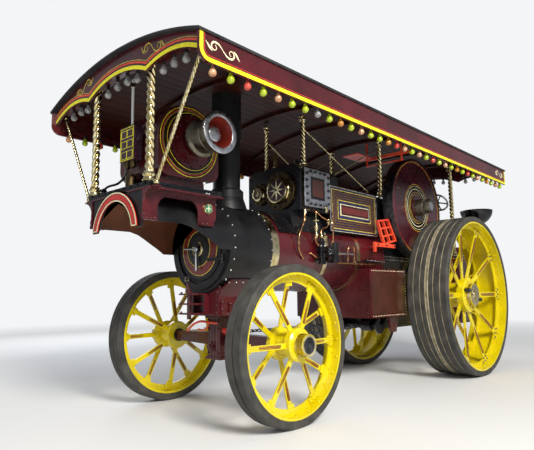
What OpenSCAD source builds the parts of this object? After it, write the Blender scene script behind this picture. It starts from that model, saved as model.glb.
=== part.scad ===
/* [Layout] */
// Distance from the rear axle forward to the front axle
wheelbase = 3550; // [3450:10:3650]
// Height of the boiler's middle line
boiler_z = 1545; // [1535:5:1555]
// How far the machine reaches behind the rear axle
tail = 1800; // [1780:10:1900]

/* [Wheels] */
// Diameter of a rear wheel over its rubber
rear_wheel_d = 2100; // [2080:10:2120]
// Width of a rear wheel's tread
rear_tread_w = 518; // [480:2:530]
// Distance from the middle line to the inner side of a rear tread
rear_tread_in = 640; // [630:5:660]
// Number of spokes in each row of a rear wheel
rear_spokes = 10; // [8:1:12]
// Diameter of a front wheel over its rubber
front_wheel_d = 1356; // [1330:2:1370]
// Width of a front wheel's tread
front_tread_w = 190; // [160:2:200]
// Distance from the middle line to the inner side of a front tread
front_tread_in = 780; // [770:5:820]
// Number of spokes in each row of a front wheel
front_spokes = 6; // [5:1:8]
// Thickness of the rubber on every wheel
rubber_t = 68; // [50:2:75]

/* [Boiler] */
// Radius of the boiler over its cladding
barrel_r = 420; // [410:2:425]
// Radius of the smokebox
smokebox_r = 432; // [428:2:440]
// Where the smokebox starts, ahead of the rear axle
smokebox_x = 3280; // [3260:10:3290]
// Length of the smokebox
smokebox_len = 550; // [530:10:560]
// Radius of the chimney
chimney_r = 140; // [120:2:150]
// Height of the chimney's rim
chimney_top = 3290; // [3260:10:3400]

/* [Engine] */
// Radius of the flywheel
flywheel_r = 673; // [640:2:680]
// Width of the flywheel's rim
flywheel_w = 145; // [120:5:148]
// Distance from the middle line to the flywheel's outer face
flywheel_face = 585; // [580:1:590]
// Half of a piston's stroke
crank_throw = 130; // [110:5:135]

/* [Canopy] */
// Where the canopy starts, behind the rear axle
canopy_rear = 1215; // [1150:5:1300]
// Where the canopy ends, ahead of the rear axle
canopy_front = 4807; // [4790:1:4850]
// Half of the canopy's width
canopy_half = 1178; // [1165:1:1200]
// Height of the lower edge of the side boards
fascia_low = 2718; // [2700:2:2740]
// Height of the roof's edge
roof_edge = 2955; // [2940:5:2970]
// Rise of the roof from its edge to its middle
roof_rise = 215; // [200:5:230]
// Thickness of the roof
roof_t = 20; // [16:1:26]

/* [Dynamo] */
// Radius of the dynamo's ring
dynamo_r = 330; // [300:5:340]
// Height of the dynamo's shaft
dynamo_z = 2440; // [2420:5:2450]
// How far the dynamo's shaft lies ahead of the rear axle
dynamo_x = 4200; // [4190:5:4210]

/* [Hidden] */
$fn = 64;

// The rear axle's line is drawn at x = 0, and in_frame moves everything so that
// x = 0 ends up halfway between the canopy's front edge and the tail
roof_lip = 12;
x_mid = (canopy_front + roof_lip - tail) / 2;
wall = 15;
gap = 0.3;
fit = 0.5;

rear_r = rear_wheel_d / 2;
front_r = front_wheel_d / 2;
rear_rim_r = rear_r - rubber_t;
front_rim_r = front_r - rubber_t;
rear_z = rear_r;
front_z = front_r;

barrel_x0 = 1180;
firebox_x0 = 200;
firebox_half = 350;
firebox_z0 = 640;
smokebox_end = smokebox_x + smokebox_len;
axle_r = 75;
spindle_r = 45;
king_r = 38;

crank_x = 530;
crank_z = 2236;
crank_r = 55;
hornplate_top = crank_z + 94;
flywheel_in = flywheel_face - flywheel_w;

cyl_x0 = 2110;
cyl_x1 = 2800;
board_x = [1290, 2290];
board_y = 400;
board_z = [1790, 2330];
board_t = 12;
cyl_half = board_y - board_t - gap;
cyl_top = 2500;
bore_z = crank_z;
bore_y = 185;

table_x0 = 3980;
table_x1 = 4741;
table_half = 500;
table_z = 1945;
beam_h = 45;
table_top = table_z + beam_h;

fascia_t = 22;
board_top = roof_edge - roof_t - 2;
roof_r = (pow(canopy_half, 2) + pow(roof_rise, 2)) / (2 * roof_rise);
roof_cz = roof_edge + roof_rise - roof_r;
function roof_under(y) = roof_cz + sqrt(pow(roof_r - roof_t, 2) - y * y);

module in_frame() translate([-x_mid, 0, 0]) children();

module both_sides() {
  children();
  mirror([0, 1, 0]) children();
}

// Plain shapes given by their limits
module block(x, y, z) translate([x[0], y[0], z[0]]) cube([x[1] - x[0], y[1] - y[0], z[1] - z[0]]);

module rod_x(r, x0, x1, y, z) translate([x0, y, z]) rotate([0, 90, 0]) cylinder(r=r, h=x1 - x0);

module rod_y(r, y0, y1, x, z) translate([x, y0, z]) rotate([-90, 0, 0]) cylinder(r=r, h=y1 - y0);

module rod_z(r, z0, z1, x, y) translate([x, y, z0]) cylinder(r=r, h=z1 - z0);

// Round bar between two points
module bar(r, a, b) {
  d = b - a;
  len = norm(d);
  translate(a) rotate([0, acos(d[2] / len), atan2(d[1], d[0])]) cylinder(r=r, h=len);
}

// Plate lying in the x-z plane, from y0 to y1
module side_plate(y0, y1) translate([0, y1, 0]) rotate([90, 0, 0]) linear_extrude(height=y1 - y0) children();

// Plate lying in the y-z plane, from x0 to x1
module cross_plate(x0, x1)
  translate([x0, 0, 0]) rotate([90, 0, 90]) linear_extrude(height=x1 - x0) children();

// Body turned about a line along y: the profile's x is the radius and its y is the place along that line
module turned_y(x, z) translate([x, 0, z]) rotate([-90, 0, 0]) rotate_extrude() children();

// BOILER

module boiler_barrel() color([0.30, 0.07, 0.09]) in_frame() {
  rod_x(barrel_r, barrel_x0, smokebox_x, 0, boiler_z);
}

// Bright bands that hold the cladding down
band_t = 5;
module boiler_bands() color([0.80, 0.68, 0.35]) in_frame() {
  for (x = [[1740, 1800], [2385, 2445], [smokebox_x - 105, smokebox_x]])
    difference() {
      rod_x(barrel_r + band_t, x[0], x[1], 0, boiler_z);
      rod_x(barrel_r, x[0] - 1, x[1] + 1, 0, boiler_z);
      block([cyl_x0 - 70, skirt_x1 + 10], [-420, 420], [1712, 2100]);
    }
}

// Firebox with the hornplates that carry the crankshaft above and the rear axle behind
horn_t = 18;
module horn_outline() polygon([
  [-190, 820], [-230, 1050], [-190, 1300], [60, 1560], [150, hornplate_top],
  [1230, hornplate_top], [1230, 1850], [barrel_x0 - gap, 1810], [barrel_x0 - gap, firebox_z0],
  [firebox_x0, firebox_z0],
  [firebox_x0, 820]
]);

module firebox() color([0.09, 0.09, 0.10]) in_frame() {
  difference() {
    union() {
      block([firebox_x0, barrel_x0 - gap], [-firebox_half, firebox_half], [firebox_z0, boiler_z]);
      rod_x(firebox_half, firebox_x0, barrel_x0 - gap, 0, boiler_z);
      both_sides() side_plate(firebox_half - horn_t, firebox_half) horn_outline();
      both_sides() rod_y(95, firebox_half, firebox_half + 20, crank_x, crank_z);
    }
    rod_y(axle_r, -1000, 1000, 0, rear_z);
    rod_y(crank_r + fit, -1000, 1000, crank_x, crank_z);
  }
}

module smokebox() color([0.09, 0.09, 0.10]) in_frame() {
  difference() {
    rod_x(smokebox_r, smokebox_x, smokebox_end, 0, boiler_z);
    rod_x(door_r + 6, smokebox_end - 40, smokebox_end + 1, 0, door_z);
  }
  // front ring around the door
  difference() {
    rod_x(397, smokebox_end, smokebox_end + 18, 0, boiler_z);
    rod_x(door_r + 30, smokebox_end - 1, smokebox_end + 40, 0, door_z);
  }
  // lugs above and below the arms of the door
  for (s = [-1, 1], d = [-41, 19]) {
    block([smokebox_end, hinge_x], [hinge_y - 8, hinge_y + 8],
        [door_z + s * 110 + d, door_z + s * 110 + d + 22]);
    rod_z(14, door_z + s * 110 + d, door_z + s * 110 + d + 22, hinge_x, hinge_y);
  }
}

// Dished door, hung at the left side
door_r = 300;
door_z = 1532;
hinge_x = smokebox_end + 40;
hinge_y = 352;
module smokebox_door() color([0.12, 0.10, 0.10]) in_frame() {
  translate([smokebox_end - 34, 0, door_z]) rotate([0, 90, 0]) {
    cylinder(r=door_r, h=40);
    translate([0, 0, 40]) cylinder(r1=door_r - 20, r2=120, h=26);
    cylinder(r=34, h=90);
  }
  // two handles, one level and one hanging
  bar(9, [smokebox_end + 44, 0, door_z], [smokebox_end + 50, -190, door_z + 8]);
  bar(9, [smokebox_end + 52, 0, door_z], [smokebox_end + 56, 12, door_z - 205]);
  for (s = [-1, 1]) {
    arm = [door_z + s * 110 - 14, door_z + s * 110 + 14];
    block([smokebox_end + 4, hinge_x + 8], [150, 285], arm);
    block([hinge_x - 8, hinge_x + 8], [150, hinge_y], arm);
    rod_z(14, arm[0], arm[1], hinge_x, hinge_y);
  }
}

// Upper half of the barrel carried on ahead of the smokebox
hood_t = 8;
hood_end = 4715;
module smokebox_hood() color([0.12, 0.11, 0.11]) in_frame() {
  difference() {
    rod_x(smokebox_r, smokebox_end + gap, hood_end, 0, boiler_z);
    rod_x(smokebox_r - hood_t, smokebox_end - 1, hood_end + 1, 0, boiler_z);
    side_plate(-500, 500) polygon([
      [smokebox_end - 5, 1000], [smokebox_end - 5, 1500], [3955, 1500], [4020, 1545], [4180, 1632],
      [4260, 1670], [4350, 1692], [4800, 1692], [4800, 1000]
    ]);
  }
  // front plate under the table, open in the middle
  difference() {
    block([hood_end + gap, hood_end + 12], [-390, 390], [1640, table_z - 12 - gap]);
    rod_x(sign_r - sign_w + 14, hood_end - 10, hood_end + 20, 0, sign_z);
    block([hood_end - 10, hood_end + 20], [-300, 300], [1600, 1660]);
  }
}

sign_r = 352;
sign_w = 76;
sign_z = 1603;
sign_x = 4752;
module arch_sign() color([0.75, 0.10, 0.08]) in_frame() {
  difference() {
    rod_x(sign_r, sign_x - 10, sign_x, 0, sign_z);
    rod_x(sign_r - sign_w, sign_x - 20, sign_x + 10, 0, sign_z);
    block([sign_x - 20, sign_x + 10], [-400, 400], [sign_z - 400, sign_z + 45]);
  }
  for (y = [-300, 0, 300])
    rod_x(12, hood_end + 12, sign_x - 10, y, sign_z + sqrt(pow(sign_r - 38, 2) - y * y));
}

module chimney() color([0.08, 0.08, 0.09]) in_frame() {
  difference() {
    translate([chimney_x, 0, 0]) rotate_extrude() polygon([
    [chimney_r - 12, 1930], [215, 1930], [190, 2010], [172, 2060], [172, 2130], [chimney_r, 2150],
    [chimney_r, 2660], [chimney_r + 12, 2670], [chimney_r + 12, chimney_top - 60],
    [chimney_r + 40, chimney_top - 30], [chimney_r + 40, chimney_top - 12], [chimney_r + 20, chimney_top],
    [chimney_r - 12, chimney_top]
    ]);
    rod_x(smokebox_r + gap, smokebox_x, smokebox_end, 0, boiler_z);
  }
}
chimney_x = 3500;

// ENGINE

skirt_x1 = smokebox_x - 140;
skirt_t = 14;
module cylinder_block() color([0.10, 0.10, 0.11]) in_frame() {
  difference() {
    union() {
      cross_plate(cyl_x0, cyl_x1) polygon([
        [-cyl_half, 1985], [cyl_half, 1985], [cyl_half, cyl_top - 65], [300, cyl_top], [-300, cyl_top],
        [-cyl_half, cyl_top - 65]
      ]);
      // skirt that beds on the boiler
      cross_plate(cyl_x0 - 60, cyl_x1 + 90) polygon([
        [-372, 1720], [372, 1720], [330, 1900], [300, 1990], [-300, 1990], [-330, 1900]
      ]);
      // plate bent round the barrel ahead of it
      difference() {
        rod_x(barrel_r + skirt_t, cyl_x1, skirt_x1, 0, boiler_z);
        block([cyl_x1 - 1, skirt_x1 + 1], [-500, 500], [1000, 1720]);
      }
    }
    rod_x(barrel_r + gap, 1700, smokebox_x, 0, boiler_z);
  }
}

// Covers at the front ends of the two cylinders, and the valve chest's cover at the left side
module cylinder_covers() color([0.62, 0.52, 0.30]) in_frame() {
  translate([cyl_x1, 120, bore_z - 16]) rotate([0, 90, 0]) {
    cylinder(r=215, h=30);
    cylinder(r=140, h=75);
  }
  translate([cyl_x1, -185, bore_z - 16]) rotate([0, 90, 0]) {
    cylinder(r=125, h=29);
    cylinder(r=75, h=60);
  }
  block([2300, 2750], [cyl_half, cyl_half + 22], [2030, 2450]);
}

module safety_valves() color([0.75, 0.62, 0.32]) in_frame() {
  block([2200, 2420], [-120, 120], [cyl_top, cyl_top + 40]);
  for (y = [-60, 60]) {
    rod_z(34, cyl_top + 40, cyl_top + 150, 2310, y);
    rod_z(20, cyl_top + 150, cyl_top + 210, 2310, y);
  }
  rod_z(14, cyl_top, cyl_top + 240, 2560, -180);
  rod_z(26, cyl_top + 90, cyl_top + 200, 2560, -180);
}

// Painted boards beside the motion
module motion_boards() color([0.28, 0.10, 0.20]) in_frame() {
  both_sides() {
    block(board_x, [board_y - board_t, board_y], board_z);
    block([guide_x, guide_x + 27], [firebox_half - 20 + gap, board_y - board_t],
        [crank_z - 56, crank_z - 16]);
  }
}

// Slide bars, crossheads and rods of the two cylinders, up to the crank's sweep
sweep_r = crank_throw + 75;
guide_x = 1318;
module slide_motion() color([0.70, 0.71, 0.73]) in_frame() {
  for (s = [-1, 1]) {
    for (dz = [-70, 70])
      block([guide_x + 12, cyl_x0], [s * bore_y - 32, s * bore_y + 32],
          [bore_z + dz - 14, bore_z + dz + 14]);
    rod_x(24, 1480, cyl_x0, s * bore_y, bore_z);
    block([1440, 1560], [s * bore_y - 34, s * bore_y + 34], [bore_z - 56, bore_z + 56]);
    rod_x(60, cyl_x0 - 50, cyl_x0, s * bore_y, bore_z);
    // rod from the crosshead to the big end
    block([crank_x + sweep_r + 10, 1450], [s * bore_y - 16, s * bore_y + 16], [bore_z - 34, bore_z + 34]);
  }
  // plate that carries the slide bars on the boiler
  difference() {
    block([guide_x, guide_x + 14], [20 - firebox_half, firebox_half - 20], [1900, hornplate_top]);
    for (s = [-1, 1])
      block([guide_x - 18, guide_x + 32], [s * bore_y - 70, s * bore_y + 70], [bore_z - 56, bore_z + 56]);
    rod_x(barrel_r + gap, guide_x - 18, guide_x + 32, 0, boiler_z);
  }
}

module crank_web(y) translate([crank_x, y, crank_z]) rotate([90, 0, 0])
  linear_extrude(height=40, center=true) hull() {
    circle(r=80);
    translate([-crank_throw, 0]) circle(r=62);
  }

module crankshaft() color([0.68, 0.69, 0.72]) in_frame() {
  rod_y(crank_r, -560, flywheel_face + 195, crank_x, crank_z);
  // collar that holds the flywheel on
  rod_y(112, flywheel_face + 8 + gap, flywheel_face + 115, crank_x, crank_z);
  for (s = [-1, 1]) {
    crank_web(s * (bore_y - 66));
    crank_web(s * (bore_y + 66));
    rod_y(46, s * bore_y - 50, s * bore_y + 50, crank_x - crank_throw, crank_z);
    // strap of the big end
    rod_y(72, s * bore_y - 34, s * bore_y + 34, crank_x - crank_throw, crank_z);
  }
}

module flywheel() color([0.36, 0.09, 0.14]) in_frame() {
  turned_y(crank_x, crank_z) polygon([
    [crank_r, flywheel_face - 110], [130, flywheel_face - 110], [130, flywheel_face - 34],
    [flywheel_r - 40, flywheel_face - 34], [flywheel_r - 40, flywheel_in], [flywheel_r, flywheel_in],
    [flywheel_r, flywheel_face], [flywheel_r - 26, flywheel_face], [flywheel_r - 26, flywheel_face - 12],
    [170, flywheel_face - 12], [170, flywheel_face + 8], [crank_r, flywheel_face + 8]
  ]);
}

guard_out = 535;
module gear_guard() color([0.30, 0.07, 0.09]) in_frame() {
  difference() {
    side_plate(-guard_out, -firebox_half - 25) union() {
      hull() {
        translate([0, rear_z]) circle(r=430);
        translate([260, 1720]) circle(r=300);
      }
      hull() {
        translate([260, 1720]) circle(r=300);
        translate([crank_x, crank_z]) circle(r=230);
      }
    }
    rod_y(axle_r + 4, -700, -200, 0, rear_z);
    rod_y(crank_r + 6, -700, -200, crank_x, crank_z);
  }
}

// UNDER THE BOILER

tank_x0 = 900;
tank_x1 = 1755;
tank_half = 550;
tank_z0 = 800;
tank_z1 = 1380;
module belly_tank() color([0.33, 0.08, 0.10]) in_frame() {
  difference() {
    block([tank_x0, tank_x1], [-tank_half, tank_half], [tank_z0, tank_z1]);
    rod_x(barrel_r + band_t + gap, 0, 3000, 0, boiler_z);
    block([0, 1320], [-430, 430], [700, 1500]);
  }
  block([tank_x1, tank_x1 + 8], [-tank_half, tank_half], [tank_z0, 1120]);
}

perch_z0 = 905;
perch_x0 = wheelbase - 220;
perch_x1 = wheelbase + 250;
perch_half = 232;
saddle_z = 1240;
nose_z = [929, 1018, 1107];
nose_t = 14;
tow_x = perch_x1 + 160;
tow_pin_r = 20;

// Section of the saddle, upright below and flared round the smokebox above
module perch_section(inset) polygon([
  [inset - perch_half, perch_z0 - inset], [perch_half - inset, perch_z0 - inset], [perch_half - inset, 1080],
  [perch_half + 88 - inset, saddle_z + inset], [inset - perch_half - 88, saddle_z + inset],
  [inset - perch_half, 1080]
]);

module perch_bracket() color([0.34, 0.08, 0.10]) in_frame() {
  difference() {
    union() {
      difference() {
        cross_plate(perch_x0, perch_x1) perch_section(0);
        cross_plate(perch_x0 - 1, perch_x1 - 14) perch_section(15);
      }
      block([perch_x0, perch_x0 + 14], [-perch_half, perch_half], [1080, saddle_z]);
      block([perch_x0, perch_x1], [5 - perch_half, perch_half - 5], [1078, 1100]);
      rod_z(110, perch_z0, 1160, wheelbase, 0);
      // nose for the tow pin
      for (z = nose_z)
        block([perch_x1 - 1, perch_x1 + 212], [-90, 90], [z - nose_t / 2, z + nose_t / 2]);
      for (s = [-1, 1])
        block([perch_x1 - 1, perch_x1 + 52], [s * 83 - 7, s * 83 + 7], [nose_z[0], nose_z[2]]);
    }
    rod_x(smokebox_r, perch_x0 - 100, perch_x1 + 100, 0, boiler_z);
    rod_z(king_r + fit, perch_z0 - 10, 1060, wheelbase, 0);
    // front edge cut back over the nose
    side_plate(-400, 400) polygon([
      [perch_x1 - 90, saddle_z + 10], [perch_x1 + 10, saddle_z - 95], [perch_x1 + 10, saddle_z + 10]
    ]);
  }
  // pin with its bent head, dropped through the nose
  rod_z(tow_pin_r, nose_z[0] - 50, nose_z[2] + 40, tow_x, 0);
  bar(11, [tow_x, 0, nose_z[2] + 36], [tow_x + 26, 0, nose_z[2] + 96]);
}

module front_axle() color([0.36, 0.09, 0.11]) in_frame() {
  king_z = perch_z0 - 6;
  rod_z(king_r, king_z - 20, 1050, wheelbase, 0);
  difference() {
    union() {
      block([wheelbase - 95, wheelbase + 110], [-88, 88], [490, king_z]);
      block([wheelbase - 110, wheelbase + 128], [-106, 106], [490, 514]);
      block([wheelbase - 110, wheelbase + 128], [-106, 106], [king_z - 22, king_z]);
    }
    block([wheelbase - 60, wheelbase + 60], [-100, 100], [650, 706]);
  }
  // ribs and boss on the fork's front
  for (y = [-62, -21, 20])
    rod_z(14, 514, king_z - 22, wheelbase + 106, y + 20);
  rod_x(44, wheelbase + 110, wheelbase + 138, -30, 610);
  rod_x(22, wheelbase + 138, wheelbase + 150, -30, 610);
  both_sides() {
    // beam, deeper at the fork than at the wheel
    cross_plate(wheelbase - 45, wheelbase + 45) polygon([
      [40, front_z - 68], [front_tread_in - 90, front_z - 46], [front_tread_in - 90, front_z + 46],
      [40, front_z + 60]
    ]);
    rod_y(spindle_r, front_tread_in - 90, front_tread_in + front_tread_w + 20, wheelbase, front_z);
    // eye for the steering chain
    block([chain_end[0], wheelbase - 44], [chain_end[1] - 16, chain_end[1] + 16],
        [front_z - 20, front_z + 20]);
  }
}

// WHEELS

// Flat spoke from radius a[0] at place a[1] out to radius b[0] at place b[1]
module spoke(a, b, w, t) {
  len = norm(b - a);
  translate([0, a[1], a[0]]) rotate([-atan2(b[1] - a[1], b[0] - a[0]), 0, 0])
    translate([-w / 2, -t / 2, 0]) cube([w, t, len]);
}

// Row of spokes, each ending in a spread foot that lies flat on the rim's web
module spoke_row(n, turn, a, b, w, t, foot) {
  for (i = [0 : n - 1])
    rotate([0, turn + i * 360 / n, 0]) {
      spoke(a, b, w, t);
      translate([-foot / 2, b[1] - 6, b[0] - 46]) cube([foot, 12, 50]);
      translate([-foot * 0.32, b[1] - 6, b[0] - 80]) cube([foot * 0.64, 12, 40]);
    }
}

// Iron wheel with y = 0 at the inner side of its tread: hub holds the hub's two ends, rows the middle of
// each row of spokes at the hub, webs the middle of each web that stands in from the rim
module iron_wheel(rim_r, tread_w, bore, hub_r, hub, spokes, spoke_w, rows, webs) {
  rim_t = 20;
  edge = 8;
  web_t = 14;
  web_in = rim_r - rim_t - 62;
  neck = hub_r * 0.72;
  rotate([-90, 0, 0]) rotate_extrude() {
    polygon([
      [rim_r - rim_t, edge], [rim_r, edge], [rim_r, tread_w - edge], [rim_r - rim_t, tread_w - edge]
    ]);
    for (w = webs)
      translate([web_in, w - web_t / 2]) square([rim_r - rim_t - web_in + 1, web_t]);
    polygon([
      [bore, hub[0]], [hub_r * 0.9, hub[0]], [hub_r, hub[0] + 12], [hub_r, rows[0] + 16],
      [neck, rows[0] + 30], [neck, rows[1] - 32], [hub_r, rows[1] - 18], [hub_r, hub[1] - 12],
      [hub_r * 0.9, hub[1]], [bore, hub[1]]
    ]);
  }
  foot = rim_r * 0.2;
  end_r = web_in + 46;
  lap = web_t / 2 + 5;
  spoke_row(spokes, 0, [hub_r * 0.8, rows[0]], [end_r, webs[0] - lap], spoke_w, 14, foot);
  spoke_row(spokes, 180 / spokes, [hub_r * 0.8, rows[1]], [end_r, webs[1] + lap], spoke_w, 14, foot);
}

module front_wheel() {
  iron_wheel(front_rim_r, front_tread_w, spindle_r + fit, 142, [-70, front_tread_w + 20], front_spokes, 46,
             [-30, 160], [front_tread_w / 2, front_tread_w / 2]);
  // cap over the spindle's end
  translate([0, front_tread_w + 20, 0]) rotate([-90, 0, 0]) difference() {
    cylinder(r=92, h=90);
    translate([0, 0, -1]) cylinder(r=spindle_r + 3, h=20);
  }
}

rear_hub_end = 380;
module rear_wheel() {
  iron_wheel(rear_rim_r, rear_tread_w, axle_r + fit, 230, [-20, rear_hub_end], rear_spokes, 70, [30, 300],
             [130, rear_tread_w - 128]);
  translate([0, rear_hub_end, 0]) rotate([-90, 0, 0]) difference() {
    cylinder(r=150, h=60);
    translate([0, 0, -1]) cylinder(r=axle_r + 3, h=21);
  }
}

module at_front_wheel() in_frame() translate([wheelbase, front_tread_in, front_z]) children();

module at_rear_wheel() in_frame() translate([0, rear_tread_in, rear_z]) children();

module front_wheel_left() color([0.93, 0.88, 0.12]) at_front_wheel() front_wheel();

module front_wheel_right() color([0.93, 0.88, 0.12]) mirror([0, 1, 0]) at_front_wheel() front_wheel();

module rear_wheel_left() color([0.93, 0.88, 0.12]) at_rear_wheel() rear_wheel();

module rear_wheel_right() color([0.93, 0.88, 0.12]) mirror([0, 1, 0]) at_rear_wheel() rear_wheel();

// Rubber ring with grooves at the places given as parts of its width
module tyre(r, rim_r, w, grooves, groove_w, depth) {
  bevel = 12;
  rotate([-90, 0, 0]) difference() {
    rotate_extrude($fn=96) polygon([
      [rim_r + gap, 0], [r - bevel, 0], [r, bevel], [r, w - bevel], [r - bevel, w], [rim_r + gap, w]
    ]);
    for (g = grooves)
      rotate_extrude($fn=96) translate([r - depth, g * w - groove_w / 2]) square([depth + 5, groove_w]);
  }
}

module front_tyre() tyre(front_r, front_rim_r, front_tread_w, [0.5], 10, 12);

module rear_tyre() tyre(rear_r, rear_rim_r, rear_tread_w, [1 / 6, 2 / 6, 3 / 6, 4 / 6, 5 / 6], 16, 18);

module front_tyre_left() color([0.30, 0.30, 0.30]) at_front_wheel() front_tyre();

module front_tyre_right() color([0.30, 0.30, 0.30]) mirror([0, 1, 0]) at_front_wheel() front_tyre();

module rear_tyre_left() color([0.35, 0.35, 0.34]) at_rear_wheel() rear_tyre();

module rear_tyre_right() color([0.35, 0.35, 0.34]) mirror([0, 1, 0]) at_rear_wheel() rear_tyre();

module rear_axle() color([0.45, 0.45, 0.47]) in_frame() {
  end = rear_tread_in + 390;
  rod_y(axle_r, -end, end, 0, rear_z);
}

// TENDER

tender_half = 560;
tender_x1 = -210;
tank_front = -450;
floor_z = 960;
bunker_x1 = -1150;
tender_top = 1640;
module tender() color([0.31, 0.07, 0.09]) in_frame() {
  // water tank under the footplate
  block([-tail + 80, tank_front], [-tender_half, tender_half], [620, floor_z]);
  // side sheets
  both_sides() side_plate(tender_half - wall, tender_half) polygon([
    [tender_x1, floor_z - 20], [tank_front, 900], [-tail + 100, 900], [-tail + 100, tender_top + 160],
    [-tail + 380, tender_top + 160], [bunker_x1, tender_top + 60], [-900, tender_top],
    [tender_x1, tender_top]
  ]);
  block([tank_front, -232], [-firebox_half, firebox_half], [floor_z - 20, floor_z]);
}

module coal_bunker() color([0.31, 0.07, 0.09]) in_frame() {
  inner = tender_half - wall - gap;
  difference() {
    block([-tail + 100, bunker_x1], [-inner, inner], [floor_z + gap, tender_top + 160]);
    block([-tail + 100 + wall, bunker_x1 - wall], [-inner + wall, inner - wall],
        [floor_z + 40, tender_top + 260]);
  }
}

module drawbar() color([0.15, 0.15, 0.16]) in_frame() {
  difference() {
    union() {
      block([-tail, -tail + 80], [-90, 90], [640, 860]);
      for (z = [690, 790])
        block([-tail, -tail + 80], [-150, 150], [z, z + 24]);
    }
    block([-tail - 1, -tail + 62], [-70, 70], [714, 790]);
    rod_z(tow_pin_r, 600, 900, -tail + 34, 0);
  }
}

seat = [-1500, tender_half + 40, 2345];
module driver_seat() color([0.24, 0.06, 0.08]) in_frame() {
  translate(seat) {
    difference() {
      translate([0, 0, 80]) sphere(r=252);
      translate([0, 0, 80]) sphere(r=242);
      translate([-400, -400, 60]) cube([800, 800, 500]);
      for (a = [-56, -28, 0, 28, 56])
        rotate([0, 0, a + 180]) translate([128, -22, -400]) cube([82, 44, 410]);
    }
  }
  block([seat[0] - 30, seat[0] + 30], [tender_half, tender_half + 34], [tender_top + 20, tender_top + 150]);
  bar(17, [seat[0], tender_half + 17, tender_top + 140], [seat[0], seat[1], seat[2] - 165]);
}

module hand_levers() color([0.70, 0.71, 0.73]) in_frame() {
  bar(12, [-60, -300, 1500], [-140, -300, 2050]);
  bar(12, [60, 150, 1900], [-180, 150, 1980]);
  rod_z(16, floor_z, 1700, -700, -380);
}

column_y = firebox_half + 45;
hand_wheel_r = 150;
wheel_at = [-470, column_y + 20, 2450];
worm_at = [1240, column_y, 700];
module steering_column() color([0.16, 0.16, 0.17]) in_frame() {
  bar(16, wheel_at, worm_at);
  d = worm_at - wheel_at;
  translate(wheel_at) rotate([0, acos(d[2] / norm(d)), atan2(d[1], d[0])]) {
    rotate_extrude() translate([hand_wheel_r, 0]) circle(r=13, $fn=24);
    for (a = [0 : 72 : 359])
      rotate([0, 0, a]) translate([0, -8, -6]) cube([hand_wheel_r, 16, 12]);
    cylinder(r=32, h=60);
  }
}

steer_shaft_x = 1265;
steer_shaft_z = 690;
module steering_shaft() color([0.20, 0.20, 0.21]) in_frame() {
  rod_y(28, -column_y, column_y - 17, steer_shaft_x, steer_shaft_z);
  rod_y(95, firebox_half + 3, column_y - 17, steer_shaft_x, steer_shaft_z);
  rod_y(75, -260, -120, steer_shaft_x, steer_shaft_z);
  rod_y(75, 120, 260, steer_shaft_x, steer_shaft_z);
}

// Chains from the shaft's two drums to the eyes on the front axle
chain_start = [steer_shaft_x + 76, 200, steer_shaft_z];
chain_end = [wheelbase - 75, 480, front_z];
link_wire = 7;
link_bend = 15;
link_flat = 46;
link_pitch = link_flat + 2 * link_bend - 2 * link_wire - 0.6;

// Oval link lying along z
module chain_link() {
  for (s = [-1, 1]) {
    translate([0, 0, s * link_flat / 2]) rotate([90, 0, s * 90 - 90]) rotate_extrude(angle=180, $fn=24)
      translate([link_bend, 0]) circle(r=link_wire, $fn=16);
    translate([s * link_bend, 0, -link_flat / 2]) cylinder(r=link_wire, h=link_flat, $fn=16);
  }
}

module steering_chains() color([0.35, 0.35, 0.36]) in_frame() {
  d = chain_end - chain_start;
  len = norm(d);
  half = link_flat / 2 + link_bend + link_wire;
  run = len - 2 * half - 2 * gap;
  count = ceil(run / link_pitch);
  both_sides() translate(chain_start) rotate([0, acos(d[2] / len), atan2(d[1], d[0])])
    for (i = [0 : count])
      translate([0, 0, gap + half + i * run / count]) rotate([0, 0, 45 + 90 * (i % 2)]) chain_link();
}

// DYNAMO

module dynamo_table() color([0.10, 0.10, 0.11]) in_frame() {
  difference() {
    union() {
      for (y = [-table_half + 10, -250, 170, table_half - 90])
        block([table_x0 + 10, table_x1 - 12], [y, y + 80], [table_z + gap, table_top]);
      for (x = [table_x0 + 10, table_x1 - 82])
        block([x, x + 70], [-table_half + 10, table_half - 10], [table_z + gap, table_top]);
    }
    // groove between the upper and the lower bar of the outer beams
    for (s = [-1, 1])
      block([table_x0, table_x1], [s * (table_half - 10) - 7, s * (table_half - 10) + 7],
          [table_z + 19, table_z + 26]);
    block([table_x1 - 19, table_x1], [-table_half, table_half], [table_z + 19, table_z + 26]);
    rod_x(smokebox_r + gap, 3900, 4800, 0, boiler_z);
  }
}

// Opening in a side bracket: an arch with rounded shoulders, open below
module bracket_opening() {
  r = 92;
  x = [4194, 4600];
  translate([x[0], 1600]) square([x[1] - x[0], 1890 - r - 1600]);
  translate([x[0] + r, 1700]) square([x[1] - x[0] - 2 * r, 190]);
  for (c = [x[0] + r, x[1] - r])
    translate([c, 1890 - r]) circle(r=r);
}

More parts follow.
